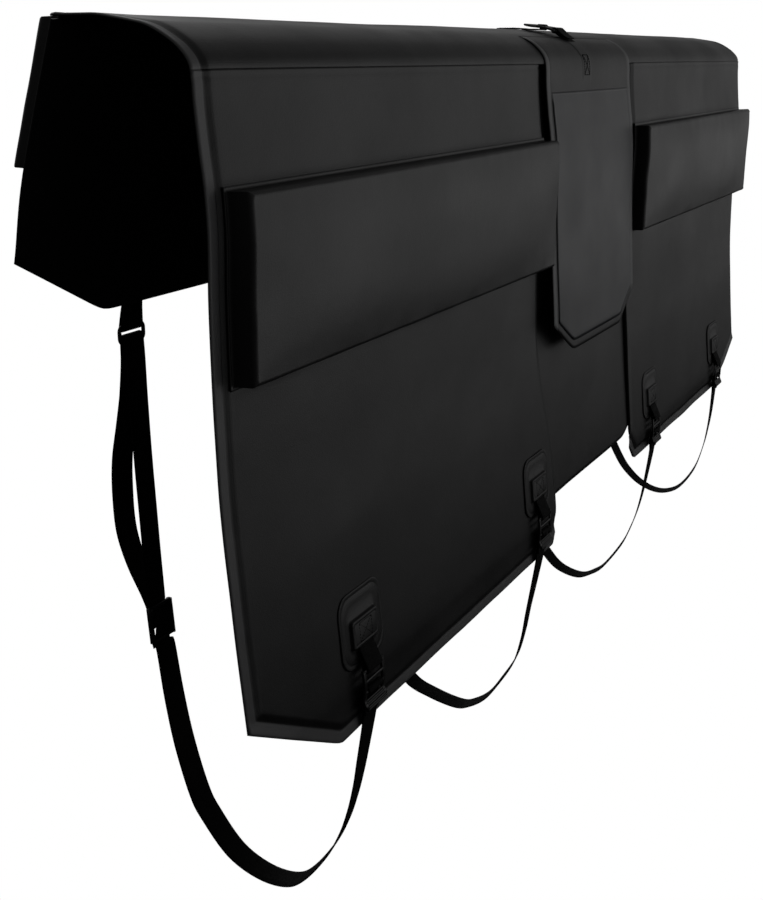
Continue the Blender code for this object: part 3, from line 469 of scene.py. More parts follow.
def thread_material(name):
    """Dull twisted sewing thread."""
    material, g, shader, place = new_material(name)
    twist = g.noise(place, 2500.0, 1.0)
    g.link(g.mix(twist, (0.0010, 0.0010, 0.0011), (0.0030, 0.0030, 0.0032)),
              shader.inputs["Base Color"])
    shader.inputs["Roughness"].default_value = 0.7
    shader.inputs["Specular IOR Level"].default_value = 0.15
    g.bumps(shader, ((twist, 0.3, 0.0001),))
    return material


CLOTH = coated_cloth("cover_cloth", (0.0075, 0.0075, 0.0078), (0.0105, 0.0105, 0.0108), 0.40, 0.42, 0.22)
BUMPER = coated_cloth("bumper_cloth", (0.0080, 0.0080, 0.0083), (0.0110, 0.0110, 0.0114), 0.36, 0.48, 0.16)
WEBBING = webbing_material("strap_webbing")
PLASTIC = plastic_material("buckle_plastic_finish")
FILM = film_material("flap_film_finish")
THREAD = thread_material("stitch_thread")
FOAM = coated_cloth("foam_finish", (0.020, 0.020, 0.021), (0.030, 0.030, 0.031), 0.80, 0.2, 0.5)


# ---- webbing pieces
def ribbon(name, points, halves, nodes):
    """A flat webbing with soft edges along a fine line; its weave follows its own length and width."""
    half = WEB / 2
    t = WEB_T / 2
    shape = [(-half, 0.0), (-half + t * 0.35, t * 0.75), (-half + t * 1.2, t), (-half * 0.45, t * 1.02),
             (0.0, t * 0.98), (half * 0.45, t * 1.02), (half - t * 1.2, t), (half - t * 0.35, t * 0.75),
             (half, 0.0)]
    shape += [(-a, -b) for a, b in shape[1:-1]]
    bm = bmesh.new()
    layer = bm.verts.layers.float_vector.new("lay")
    rings = []
    travelled = 0.0
    for k, point in enumerate(points):
        ahead = points[min(k + 1, len(points) - 1)]
        behind = points[max(k - 1, 0)]
        if k:
            travelled += (point - points[k - 1]).length
        side = halves[k].normalized()
        normal = (ahead - behind).cross(side).normalized()
        ring = []
        for a, b in shape:
            vert = bm.verts.new(point + side * a + normal * b)
            vert[layer] = (travelled, a, b)
            ring.append(vert)
        rings.append(ring)
    bridge(bm, rings)
    return new_piece(name, bm, WEBBING, nodes)


def resampled(points, halves, pitch):
    """The same line and widths at an even pitch."""
    distances = [0.0]
    for a, b in zip(points, points[1:]):
        distances.append(distances[-1] + (b - a).length)
    count = max(int(distances[-1] / pitch), 4)
    targets = np.linspace(0.0, distances[-1], count + 1)
    axes = [np.interp(targets, distances, [p[i] for p in points]) for i in range(3)]
    sides = [np.interp(targets, distances, [h[i] for h in halves]) for i in range(3)]
    return ([Vector(p) for p in zip(*axes)], [Vector(p) for p in zip(*sides)])


def flat_web(name, points, node, per_span=6):
    """A short webbing along the points, level across the pad's length."""
    fine = smooth_route(points, per_span)
    fine, halves = resampled(fine, [Vector((1.0, 0.0, 0.0))] * len(fine), 0.0018)
    ribbon(name, fine, halves, [node])


def arc(centre, middle, radius, start, end, count, tall=1.0):
    """Points of a turn round a bar, from one angle in degrees to another."""
    turn = []
    for k in range(count + 1):
        angle = math.radians(start + (end - start) * k / count)
        turn.append((centre + radius * math.cos(angle), middle + radius * tall * math.sin(angle)))
    return turn


def strap_end():
    """The strap's route, as (down, lift), round the friction bar of a front buckle."""
    near = -PLATE / 2 - GAP - WEB_T / 2
    far = near - WEB_STEP
    route = [(FRICTION + 0.030, far - GAP * 2), (FRICTION + 0.020, far - GAP * 2),
             (FRICTION + 0.011, far - GAP * 2), (FRICTION + 0.0060, far - GAP),
             (FRICTION + 0.0030, far + WEB_T * 0.4)]
    route += arc(FRICTION, 0.0, TURN, -105, -375, 9)
    return route + [(FRICTION + 0.0062, near * 0.92), (FRICTION + 0.0100, near - GAP * 0.3),
                    (FRICTION + 0.018, near), (FRICTION + 0.024, near)]


def slider_place(x, down, lift):
    return (x, SLIDER_Y - SLIDER_LEAN * down + lift, -SLIDER_DROP - down - SLIDER_LEAN * lift)


# each strap's hanging part, from its slider forward to its buckle, and the two layers above the slider
LOW = (
    ((0.1658, -0.5376), (0.1596, -0.5851), (0.1512, -0.6330), (0.1380, -0.6810), (0.1269, -0.7040),
     (0.1013, -0.7358), (0.0710, -0.7508), (0.0429, -0.7514), (0.0244, -0.7387), (0.0030, -0.7090),
     (-0.0100, -0.6814), (-0.0178, -0.6557), (-0.0231, -0.6311), (-0.0270, -0.6075)),
    ((0.1660, -0.5376), (0.1625, -0.5980), (0.1570, -0.6610), (0.1465, -0.7130), (0.1219, -0.7519),
     (0.0920, -0.7656), (0.0589, -0.7725), (0.0423, -0.7685), (0.0239, -0.7553), (0.0084, -0.7330),
     (-0.0090, -0.7016), (-0.0175, -0.6686), (-0.0220, -0.6377), (-0.0272, -0.6067)),
    ((0.1658, -0.5376), (0.1620, -0.5950), (0.1540, -0.6550), (0.1400, -0.7080), (0.1133, -0.7460),
     (0.0916, -0.7667), (0.0619, -0.7747), (0.0410, -0.7662), (0.0248, -0.7524), (0.0015, -0.7169),
     (-0.0095, -0.6909), (-0.0178, -0.6643), (-0.0240, -0.6348), (-0.0285, -0.6048)),
    ((0.1658, -0.5376), (0.1590, -0.5850), (0.1480, -0.6300), (0.1350, -0.6650), (0.1150, -0.7034),
     (0.0994, -0.7238), (0.0798, -0.7405), (0.0562, -0.7510), (0.0332, -0.7512), (0.0100, -0.7382),
     (-0.0120, -0.7040), (-0.0238, -0.6633), (-0.0287, -0.6330), (-0.0316, -0.6048)))
INNER_LAYER = ((0.1803, -0.2760), (0.1801, -0.3033), (0.1795, -0.3350), (0.1786, -0.3676), (0.1768, -0.4114),
               (0.1752, -0.4500))
OUTER_LAYER = ((0.1868, -0.2760), (0.1903, -0.3040), (0.1948, -0.3300), (0.2012, -0.3620), (0.2035, -0.3930),
               (0.2022, -0.4300), (0.1935, -0.4600), (0.1805, -0.4860))


def strap_line(index):
    """A strap's points and turns: slider, rear ring, back through the slider, under the pad, front buckle."""
    fore = STATIONS[index]
    aft = fore + SHIFT
    over = TURN + WEB_STEP
    face = PLATE / 2 + GAP + WEB_T / 2
    end_bar = SLIDER_H / 2 - BAR / 2
    hook = arc(0.0, 0.0, TURN, -105, 90, 8)
    hook += [(-TURN * 1.1, TURN * 1.1), (-0.0085, TURN + WEB_STEP * 0.75), (-end_bar, TURN + WEB_STEP * 1.1)]
    thread = [(-end_bar - 0.007, face), (-end_bar - 0.0015, TURN)]
    thread += arc(-end_bar, 0.0, TURN, 80, 5, 3) + [(-end_bar * 0.56, -TURN * 0.8)]
    thread += arc(0.0, 0.0, over, -135, -45, 4) + [(end_bar * 0.56, -TURN * 0.8)]
    thread += arc(end_bar, 0.0, TURN, 175, 100, 3) + [(end_bar + 0.0015, TURN), (end_bar + 0.007, face)]
    bar_z = -RING_DROP - RING_H
    route = [slider_place(aft, down, lift) for down, lift in hook]
    turns = [0.0] * len(route)
    for k, (y, z) in enumerate(reversed(OUTER_LAYER)):
        route.append((aft, y, z))
        turns.append(-math.radians(8) * math.sin(math.pi * min(max((k - 0.5) / 5.5, 0.0), 1.0)))
    route += [(aft, y, z) for y, z in arc(RING_Y, bar_z, RING_WIRE / 2 + GAP + WEB_T / 2, -8, 188, 8, 2.65)]
    route += [(aft, y, z) for y, z in INNER_LAYER]
    route += [slider_place(aft, down, lift) for down, lift in thread]
    turns += [0.0] * (len(route) - len(turns))
    low = LOW[index]
    for k, (y, z) in enumerate(low):
        share = (k + 1) / (len(low) + 1)
        route.append((aft + (fore - aft) * step(share), y, z))
        turns.append(-math.radians(9) * math.sin(2 * math.pi * share))
    points = [row(*p) for p in route]
    for down, lift in strap_end():
        points.append(front(fore, BUCKLE_DROP + down, BUCKLE_MID + lift))
        turns.append(0.0)
    return points, turns


def strap(index):
    """The strap's piece and its line, from the front buckle to the slider."""
    points, turns = strap_line(index)
    fine = smooth_route(points, 6)
    angles = np.interp(np.arange(len(fine)) / 6, np.arange(len(turns)), turns)
    halves = [Vector((math.cos(a), math.sin(a), 0.0)) for a in angles]
    fine, halves = resampled(fine, halves, 0.0022)
    fine, halves = fine[::-1], halves[::-1]
    return ribbon(f"strap_webbing_{index + 1}", fine, halves, [f"strap_{index + 1}"]), fine


# ---- moulded hardware
def bar_profile(width, thickness, ridges):
    """Outline of a bar's section, rounded, with small grip ridges on its outer side."""
    points = []
    power = 0.55
    for k in range(16):
        angle = 2 * math.pi * k / 16
        c, s = math.cos(angle), math.sin(angle)
        points.append((math.copysign(abs(c) ** power, c) * width / 2,
                       math.copysign(abs(s) ** power, s) * thickness / 2))
    if ridges:
        points = [(a, b + (thickness * 0.10 if b > thickness * 0.4 and (k % 2) else 0.0))
                  for k, (a, b) in enumerate(points)]
    return points


def sweep(bm, line, outline, frames):
    """A rounded outline carried along a line and capped at both ends."""
    bridge(bm, [[bm.verts.new(point + side * a + up * b) for a, b in outline]
                for point, (side, up) in zip(line, frames)])


def moulded_bar(bm, place, start, end, size, thickness, lift=0.0, across=True, ridges=False):
    """One straight member of a moulded frame, in the piece's own (x, down, lift) space."""
    outline = bar_profile(size, thickness, ridges)
    steps = 8
    origin = place(0.0, 0.0, 0.0)
    down_dir = (place(0.0, 0.001, 0.0) - origin).normalized()
    up_dir = (place(0.0, 0.0, 0.001) - origin).normalized()
    x_dir = (place(0.001, 0.0, 0.0) - origin).normalized()
    line = []
    frames = []
    for k in range(steps + 1):
        share = k / steps
        x = start[0] + (end[0] - start[0]) * share
        down = start[1] + (end[1] - start[1]) * share
        line.append(place(x, down, lift))
        frames.append((down_dir if across else x_dir, up_dir))
    sweep(bm, line, outline, frames)


def ladder_buckle(name, node, place, tilt=0.42):
    """A moulded ladder buckle: two rails, three bars, and a lifted thumb lip with grip ribs."""
    bm = bmesh.new()
    edge_x = BUCKLE_W / 2 - BUCKLE_RAIL / 2
    total = BAR * 3 + SLOT * 3
    for side in (-1, 1):
        outline = bar_profile(BUCKLE_RAIL, PLATE, False)
        line = []
        frames = []
        for k in range(15):
            down = (total + LIP * 0.75) * k / 14 + 0.0002
            rise = 0.0006 * math.sin(math.pi * min(down / total, 1.0))
            if down > total:
                rise += (down - total) * tilt
            line.append(place(side * edge_x, down, rise))
            ahead = place(side * edge_x, down + 0.001, rise)
            here = place(side * edge_x, down, rise)
            up = (place(side * edge_x, down, rise + 0.001) - here).normalized()
            across_dir = (ahead - here).normalized().cross(up).normalized()
            frames.append((across_dir, up))
        sweep(bm, line, outline, frames)
    for k in range(3):
        down = BAR / 2 + k * (BAR + SLOT)
        lift = 0.0006 * math.sin(math.pi * down / total)
        moulded_bar(bm, place, (-edge_x - 0.001, down), (edge_x + 0.001, down), BAR, PLATE, lift,
                    ridges=(k == 2))
    for k in range(5):
        down = total + 0.0008 + LIP * k / 4.6
        rise = (down - total) * tilt
        moulded_bar(bm, place, (-edge_x - 0.0008, down), (edge_x + 0.0008, down), BUCKLE_LIP_BAR,
                    PLATE * (1.0 if k % 2 else 0.82), rise)
    return new_piece(name, bm, PLASTIC, [node])


def slider_piece(index):
    """A three-bar slider between two deeper rails."""
    bm = bmesh.new()
    x0 = STATIONS[index] + SHIFT

    def place(x, down, lift):
        return row(*slider_place(x0 + x, down, lift))

    half_w = SLIDER_W / 2 - 0.0013
    half_h = SLIDER_H / 2 - BAR / 2
    for side in (-1, 1):
        moulded_bar(bm, place, (side * half_w, -half_h - 0.001), (side * half_w, half_h + 0.001), SLIDER_RAIL,
                    PLATE * 2.0, across=False)
    for down, ridge in ((-half_h, False), (0.0, True), (half_h, False)):
        moulded_bar(bm, place, (-half_w - 0.0008, down), (half_w + 0.0008, down), BAR, PLATE, ridges=ridge)
    return new_piece(f"slider_frame_{index + 1}", bm, PLASTIC, [f"slider_{index + 1}"])


def ring_piece(index):
    """A rectangular loop with well rounded corners and a round section."""
    bm = bmesh.new()
    x0 = STATIONS[index] + SHIFT
    centre_z = -RING_DROP - RING_H / 2
    outline = []
    for cx, cz, start in ((1, 1, 0), (-1, 1, 90), (-1, -1, 180), (1, -1, 270)):
        for k in range(7):
            angle = math.radians(start + 90 * k / 6)
            outline.append((cx * (RING_W / 2 - RING_R) + RING_R * math.cos(angle),
                            cz * (RING_H / 2 - RING_R) + RING_R * math.sin(angle), angle))
    rings = []
    for x, z, angle in outline:
        out = Vector((math.cos(angle), 0.0, math.sin(angle)))
        centre = row(x0 + x, RING_Y, centre_z + z)
        rings.append([bm.verts.new(centre + out * (RING_WIRE / 2 * math.cos(t)) +
                                   Vector((0.0, RING_WIRE / 2 * math.sin(t), 0.0)))
                      for t in (2 * math.pi * k / 14 for k in range(14))])
    bridge(bm, rings, closed=True)
    return new_piece(f"rear_loop_{index + 1}", bm, PLASTIC, [f"rear_ring_{index + 1}"])


# ---- stitching
def stitches(name, runs, place, spacing=0.0026, length=0.0019, radius=0.00026):
    """Short thread stitches along the runs; each is a small rounded bar lying on the webbing."""
    bm = bmesh.new()
    for (u0, v0), (u1, v1) in runs:
        size = math.hypot(u1 - u0, v1 - v0)
        count = max(int(size / spacing), 1)
        du, dv = (u1 - u0) / size, (v1 - v0) / size
        for k in range(count):
            middle = size * (k + 0.5) / count
            line = []
            for share, sink in ((-1.0, -1.0), (-0.75, 0.1), (0.0, 0.55), (0.75, 0.1), (1.0, -1.0)):
                at = middle + share * length / 2
                line.append(place(u0 + du * at, v0 + dv * at, radius * sink))
            forward = (line[-1] - line[0]).normalized()
            up = (place(u0, v0, 0.001) - place(u0, v0, 0.0)).normalized()
            side = forward.cross(up).normalized()
            rings = []
            for j, point in enumerate(line):
                r = radius * (0.55 if j in (0, 4) else 1.0)
                rings.append([bm.verts.new(point + side * (r * math.cos(t)) + up * (r * math.sin(t)))
                              for t in (2 * math.pi * i / 6 for i in range(6))])
            bridge(bm, rings)
    return new_piece(name, bm, THREAD)


def box_cross(half_u, low_v, high_v):
    """A sewn box with both diagonals."""
    a, b, c, d = (-half_u, low_v), (half_u, low_v), (half_u, high_v), (-half_u, high_v)
    return [(a, b), (b, c), (c, d), (d, a), (a, c), (b, d)]


# ---- the straps, each with its slider
for index in range(4):
    piece, line = strap(index)
    slide = slider_piece(index)
    tuple(line[0])
    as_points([tuple(p) for p in line[::4]] + [tuple(line[-1])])


# ---- the cover's panels
def top_panel():
    """The cloth over the ridge, a little slack at the near end, pressed down along its front seam."""
    seam = COVER.at_drop(SEAM)
    columns = edge_spaced(0.0, LENGTH, PITCH)
    rows = spaced(0.0, seam - 0.008, 0.0035) + spaced(seam - 0.008, seam, 0.001)[1:]

    def at(s, x):
        e = min(x, LENGTH - x)
        close = seam - s
        height = hem_profile(e, x, s, 1.0)
        sag = 0.0003 + 0.0017 * (1 - step((x - 0.30) / 0.35))
        height -= sag * (1 - step((s - 0.045) / 0.055)) * field(e)
        height += ripple(x, s, 2.0) * 0.45 * step(e / 0.05)
        height -= 0.0002 * math.exp(-((close - 0.0145) / 0.0040) ** 2)
        height -= 0.0004 * math.exp(-(close / 0.0012) ** 2)
        height += 0.0006 * math.exp(-((s - 0.004) / 0.003) ** 2)
        return cover(x, s, height), cover(x, s, inner_profile(e)), hem_share(e)

    return sheet_piece("top_cloth", "top_panel", CLOTH, rows, columns, at)


def corner_floor(x, near, far, drop, near_corner, far_corner, radius=0.006):
    """The lower edge's drop at x, with slanted, slightly rounded corners."""
    values = [drop]
    for distance, (length, rise) in ((x - near, near_corner), (far - x, far_corner)):
        values.append(drop - rise * (1 - distance / length) if distance < length * 3 else drop + 1.0)
    return soft_min(values, radius * 0.35)


def slant_distance(x, d, near, far, drop, near_corner, far_corner):
    """How far a point lies from the panel's edges, its slanted corners included."""
    values = [drop - d]
    for distance, (length, rise) in ((x - near, near_corner), (far - x, far_corner)):
        line = drop - rise * (1 - distance / length)
        values.append((line - d) * length / math.hypot(length, rise))
    return min(values)


def front_panel(name, node, near, drop, near_corner, far_corner, flare, hem_near, hem_far, seed, block):
    """One side of the front: hems, padded field, a calm place under its bumper, and a flare to its far corner."""
    far = near + SIDE_WIDTH
    columns = edge_spaced(near, far, PITCH)
    band = 0.022
    fixed = 0.42
    span = drop - SEAM
    rows = spaced(0.0, 0.010, 0.0011)[:-1] + spaced(0.010, span - band, PITCH)
    rows += spaced(span - band, span, 0.0013)[1:]

    def at(value, x):
        floor = corner_floor(x, near, far, drop, near_corner, far_corner)
        d = SEAM + value
        if d > fixed:
            lower = drop - band
            local = floor - band
            d = fixed + (d - fixed) * (local - fixed) / (lower - fixed) if d <= lower else floor - (drop - d)
        e = slant_distance(x, d, near, far, drop, near_corner, far_corner)
        if hem_near:
            e = min(e, x - near)
        if hem_far:
            e = min(e, far - x)
        e = max(e, 0.0)
        s = COVER.at_drop(d)
        side = min(x - near, far - x)
        height = hem_profile(e, x, s, seed)
        if not (hem_near and x - near < 0.02) and not (hem_far and far - x < 0.02):
            thin = 0.0013 + 0.0012 * (not hem_near) * (1 - step((d - 0.15) / 0.1))
            height -= thin * (1 - step(side / 0.009))
        calm = step((e - 0.004) / 0.04)
        if block[0] - 0.01 < x < block[1] + 0.01 and block[2] - 0.006 < d < block[3] + 0.006:
            calm *= 0.1
        height += ripple(x, s, seed + 5.0) * calm
        height += 0.0004 * math.exp(-((d - SEAM) / 0.0022) ** 2)
        height -= 0.0002 * math.exp(-((d - SEAM - 0.0042) / 0.0016) ** 2)
        height += 0.0016 * step((0.012 - (floor - d)) / 0.012)
        below = max(d - (drop - 0.06), 0.0) / 0.06
        height += 0.0012 * below * below * noise.noise(Vector((x * 11.0, 3.0, seed)))
        shift = flare * step((d - FLARE_START) / FLARE_DROP) * max(2 * (x - near) / (far - near) - 1, 0.0)
        outer = cover(x + shift, s, height)
        return outer, cover(x + shift, s, min(inner_profile(e), height - 0.0004)), hem_share(e)

    return sheet_piece(name, node, CLOTH, rows, columns, at)


def centre_panel():
    """The thinner cloth between the two front panels, lying behind their edges."""
    near = SIDE_WIDTH - CENTRE_OVERLAP
    far = LENGTH - near
    columns = edge_spaced(near, far, PITCH)
    corner = (0.036, 0.014)

    def at(share, x):
        floor = corner_floor(x, near, far, CENTRE_DROP, corner, corner)
        s = COVER.at_drop(SEAM + (floor - SEAM) * share)
        height = -0.0033 + ripple(x, s, 21.0) * 0.8 * step((x - near) / 0.04) * step((far - x) / 0.04)
        return cover(x, s, height), cover(x, s, height - 0.0018), 0.0

    return sheet_piece("centre_cloth", "centre_panel", CLOTH, spaced(0.0, 1.0, PITCH / 0.48),
                       columns, at)


def back_normal(x, drop, off):
    """A point on the back panel by its height square to the cloth, out towards the rear."""
    y, z = REAR.at(float(np.interp(drop, -REAR.z, REAR.s)), -off)
    return row(x, y, z)


def back_panel():
    """The shorter cloth behind, with slanted lower corners."""
    columns = edge_spaced(0.0, LENGTH, PITCH * 1.4)
    top = 0.0033
    straight = 0.10
    rows = spaced(0.0, 0.15, 0.008)[:-1] + spaced(0.15, BACK_DROP - top, 0.0022)

    def at(value, x):
        floor = corner_floor(x, 0.0, LENGTH, BACK_DROP, BACK_CORNER, BACK_CORNER)
        d = top + value
        if d > straight:
            d = straight + (d - straight) * (floor - straight) / (BACK_DROP - straight)
        e = min(slant_distance(x, d, 0.0, LENGTH, BACK_DROP, BACK_CORNER, BACK_CORNER), x, LENGTH - x)
        e = max(e, 0.0)
        height = hem_profile(e, x, d, 31.0) - SWELL * field(e)
        height += ripple(x, d, 33.0) * 0.7 * step(e / 0.03) * step((d - 0.11) / 0.03)
        outer = back_normal(x, d, height * 0.6 - 0.0004)
        return outer, back_normal(x, d, -0.0030 + 0.0010 * (1 - step(e / 0.012))), 0.0

    return sheet_piece("back_cloth", "back_panel", CLOTH, rows, columns, at)


# ---- bumpers
def bumper_profile(start, size, depth, brim0, brim1, pitch):
    """Lines over a bumper with their heights: brim, welded foot, wall, rounded edge and crowned face."""
    r = 0.0042
    taper = 0.0004
    bead = 0.0005
    foot = 0.0010
    half = [(-0.0006, 0.0002), (0.0, foot)]
    half += [(taper * k / 6, foot + (depth - r - foot) * k / 6) for k in range(1, 6)]
    for k in range(7):
        angle = math.radians(90 * k / 6)
        across = taper + r * (1 - math.cos(angle))
        half.append((across, depth - r + r * math.sin(angle) + (bead if across > taper + r * 0.5 else 0.0)))
    first = taper + r + 0.0016
    lines = [(start - brim0, 0.0), (start - brim0 * 0.55, 0.0)] + [(start + a, b) for a, b in half]
    lines += [(x, depth) for x in spaced(start + first, start + size - first, pitch)]
    lines += [(start + size - a, b) for a, b in reversed(half)]
    return lines + [(start + size + brim1 * 0.55, 0.0), (start + size + brim1, 0.0)]


def bumper(name, node, x0, width, d0, height, depth, brims, place, seat, seed):
    """A crowned cloth cover over a foam block, with puckers along its edges and slightly uneven walls."""
    across = bumper_profile(x0, width, depth, brims[0], brims[1], PITCH)
    down = bumper_profile(d0, height, depth, brims[2], brims[3], PITCH)

    def at(row_line, column_line):
        d, hd = row_line
        x, hx = column_line
        fx = 1 - abs(2 * (x - x0) / width - 1) ** 5
        fd = 1 - (2 * (d - d0) / height - 1) ** 2
        base = min(hx, hd)
        on_face = 1.0 if base > depth * 0.9 else 0.0
        crown = 0.0060 * max(fx, 0.0) * max(fd, 0.0) * on_face
        e = min(x - x0, x0 + width - x, d - d0, d0 + height - d)
        soft = on_face * step((e - 0.004) / 0.02)
        wave = 0.0008 * noise.noise(Vector((x * 7.0, d * 16.0, seed))) * soft
        pucker = 0.00045 * noise.noise(Vector((x * 42.0, d * 42.0, seed + 2))) * on_face
        pucker *= math.exp(-max(e - 0.004, 0) / 0.012)
        wall_wave = 0.0
        if 0.002 < base < depth * 0.9:
            wall_wave = 0.0004 * noise.noise(Vector((x * 20.0, d * 20.0, seed + 4)))
        rise = seat + base + crown + wave + pucker
        outer = place(x, d, rise) + Vector((0.0, 0.0, wall_wave))
        return outer, place(x, d, seat - 0.0009), 0.0

    return sheet_piece(name, node, BUMPER, down, across, at)


# ---- flap
def flap_off(drop):
    """How far the flap hangs off the cover at a drop."""
    return SWELL + GAP + 0.0125 * step((drop - SEAM) / 0.330)


def over_tab(x, d):
    """1 where the flap lies over the webbing sewn under its upper end."""
    return (1 - step((abs(x - TAB_X) - 0.0128) / 0.0022)) * (1 - step((d - 0.0505) / 0.0022))


def flap_sheet(name, node, material, near, far, top, lower, corner, level, thickness, profile, hem):
    """A sheet of the hanging flap, a level above it, raised where it lies over the webbing."""
    columns = edge_spaced(near, far, PITCH * 0.9)
    columns = sorted(set(columns + spaced(TAB_X - 0.016, TAB_X + 0.016, 0.0016)))

    def at(share, x):
        floor = corner_floor(x, near, far, lower, corner, corner)
        s = top + (COVER.at_drop(floor) - top) * share
        d = COVER.drop(s)
        e = min(x - near, far - x, s - top, slant_distance(x, d, near, far, lower, corner, corner))
        e = max(e, 0.0)
        height = flap_off(d) + level + 0.0010 * noise.noise(Vector((x * 9.0, d * 7.0, 51.0))) * step((d - 0.05) / 0.1)
        tab = over_tab(x, d)
        thin = thickness * (0.25 + 0.75 * step((s - top) / 0.016))
        sunk = 0.0016 * tab * (level == 0.0) * thin / thickness
        # share of the painted hem highlight, on the cloth flap only
        share = hem_share(min(x - near, far - x, 1.0)) if hem else 0.0
        return cover(x, s, height + thin + profile(e) + 0.0005 * tab), cover(x, s, height + sunk), share

    rows = spaced(0.0, 1.0, 0.004 / (COVER.at_drop(lower) - top))
    return sheet_piece(name, node, material, rows, columns, at)


def access_flap():
    def profile(e):
        return -0.0006 * (1 - min(e / 0.001, 1.0)) ** 2 - 0.00035 * math.exp(-((e - 0.0105) / 0.0010) ** 2)

    return flap_sheet("flap_cloth", "access_flap", CLOTH, FLAP_NEAR, FLAP_FAR, COVER.at_y(FLAP_REACH),
                      FLAP_DROP, FLAP_CORNER, 0.0, FLAP_T, profile, True)


def flap_panel():
    def profile(e):
        return 0.0004 * math.exp(-((e - 0.0018) / 0.0010) ** 2) - 0.0006 * (1 - min(e / 0.0009, 1.0)) ** 2

    slant = FLAP_CORNER[1] / FLAP_CORNER[0]
    flap_sheet("flap_film", "flap_panel", FILM, FLAP_NEAR + FILM_MARGIN, FLAP_FAR - FILM_MARGIN,
               COVER.at_drop(FILM_TOP), FILM_DROP, (FILM_CORNER, FILM_CORNER * slant), FLAP_T + 0.0001, FILM_T,
               profile, False)


# ---- patches
def rounded_rect(width, height, radius):
    """Outline of a rectangle with rounded corners."""
    points = []
    for cx, cy, start in ((1, 1, 0), (-1, 1, 90), (-1, -1, 180), (1, -1, 270)):
        for k in range(11):
            angle = math.radians(start + 90 * k / 10)
            points.append((cx * (width / 2 - radius) + radius * math.cos(angle),
                           cy * (height / 2 - radius) + radius * math.sin(angle)))
    return points


def patch(index):
    """A welded patch: rounded rim, pressed border line, and a raised pocket under the webbing."""
    x0 = STATIONS[index]
    middle = PATCH_DROP + PATCH_H / 2
    seat = SWELL + GAP
    face = seat + PATCH_T
    stack = ((0.0, seat - 0.0006), (0.0, seat + PATCH_T * 0.6), (0.0004, seat + PATCH_T * 0.95), (0.0010, face),
             (0.0030, face), (0.0036, face - 0.0003), (0.0042, face), (0.0100, face))
    pocket = ((0.0465, 0.0275, 0.0040, 0.0), (0.0448, 0.0258, 0.0034, 0.0006), (0.0440, 0.0250, 0.0030, 0.0020),
              (0.0434, 0.0244, 0.0028, 0.0029), (0.0424, 0.0234, 0.0024, 0.0033), (0.0385, 0.0195, 0.0020, 0.0034),
              (0.0376, 0.0186, 0.0018, 0.0031), (0.0366, 0.0176, 0.0016, 0.0033))
    bm = bmesh.new()
    rings = []
    for inset, height in stack:
        outline = rounded_rect(PATCH_W - 2 * inset, PATCH_H - 2 * inset, PATCH_R - inset * 0.3)
        rings.append([bm.verts.new(front(x0 + x, middle - y, height)) for x, y in outline])
    for w, h, radius, rise in pocket:
        outline = rounded_rect(w, h, radius)
        rings.append([bm.verts.new(front(x0 + x, POCKET_MID - y, face + rise)) for x, y in outline])
    bridge(bm, rings)
    return new_piece(f"anchor_patch_cloth_{index + 1}", bm, CLOTH, [f"anchor_patch_{index + 1}"])


def anchor_web(index):
    """Webbing out of the patch's pocket, round the buckle's upper bar and back."""
    x0 = STATIONS[index]
    bar = BUCKLE_DROP + BAR / 2
    mouth = POCKET_MID + 0.0125
    lower = POCKET_FACE - POCKET_RISE - 0.0001
    route = [(mouth - 0.002, lower), (mouth + 0.002, lower), (mouth + 0.008, lower + 0.0012)]
    route += arc(bar, BUCKLE_MID, TURN, -110, 110, 8)
    route += [(mouth + 0.009, lower + WEB_STEP + 0.0030), (mouth + 0.002, lower + WEB_STEP + 0.0003),
              (mouth - 0.002, lower + WEB_STEP)]
    points = [front(x0, d, off) for d, off in route]
    flat_web(f"anchor_webbing_{index + 1}", points, f"anchor_web_{index + 1}")

    def place(u, v, lift):
        return front(x0 + u, POCKET_MID + v, POCKET_FACE + lift)

    stitches(f"anchor_stitch_{index + 1}", box_cross(0.0105, -0.0082, 0.0086), place)


def rear_web(index):
    """Webbing sewn to the back panel, hanging round the upper side of its ring."""
    x = STATIONS[index] + SHIFT
    turn = RING_WIRE / 2 + GAP + WEB_T / 2
    first = GAP * 1.3 + WEB_T / 2
    second = first + WEB_T + GAP * 1.3
    drops = (BACK_DROP - 0.036, BACK_DROP - 0.018, BACK_DROP - 0.0013)
    route = [back(x, d, first) for d in drops]
    route += [row(x, y, z) for y, z in arc(RING_Y, -RING_DROP, turn, 165, 375, 8, 1.6)]
    route += [back(x, d, second) for d in drops[::-1]]
    flat_web(f"rear_webbing_{index + 1}", route, f"rear_web_{index + 1}")

    def place(u, v, lift):
        return back(x + u, BACK_DROP - 0.0340 + v, second + WEB_T / 2 + lift)

    stitches(f"rear_stitch_{index + 1}", box_cross(0.0098, 0.0, 0.024), place)


# ---- ridge buckle, tab and strap
TOP_STACK = SWELL + GAP + FLAP_T
TOP_MID = TOP_STACK + GAP + WEB_T / 2 + TURN


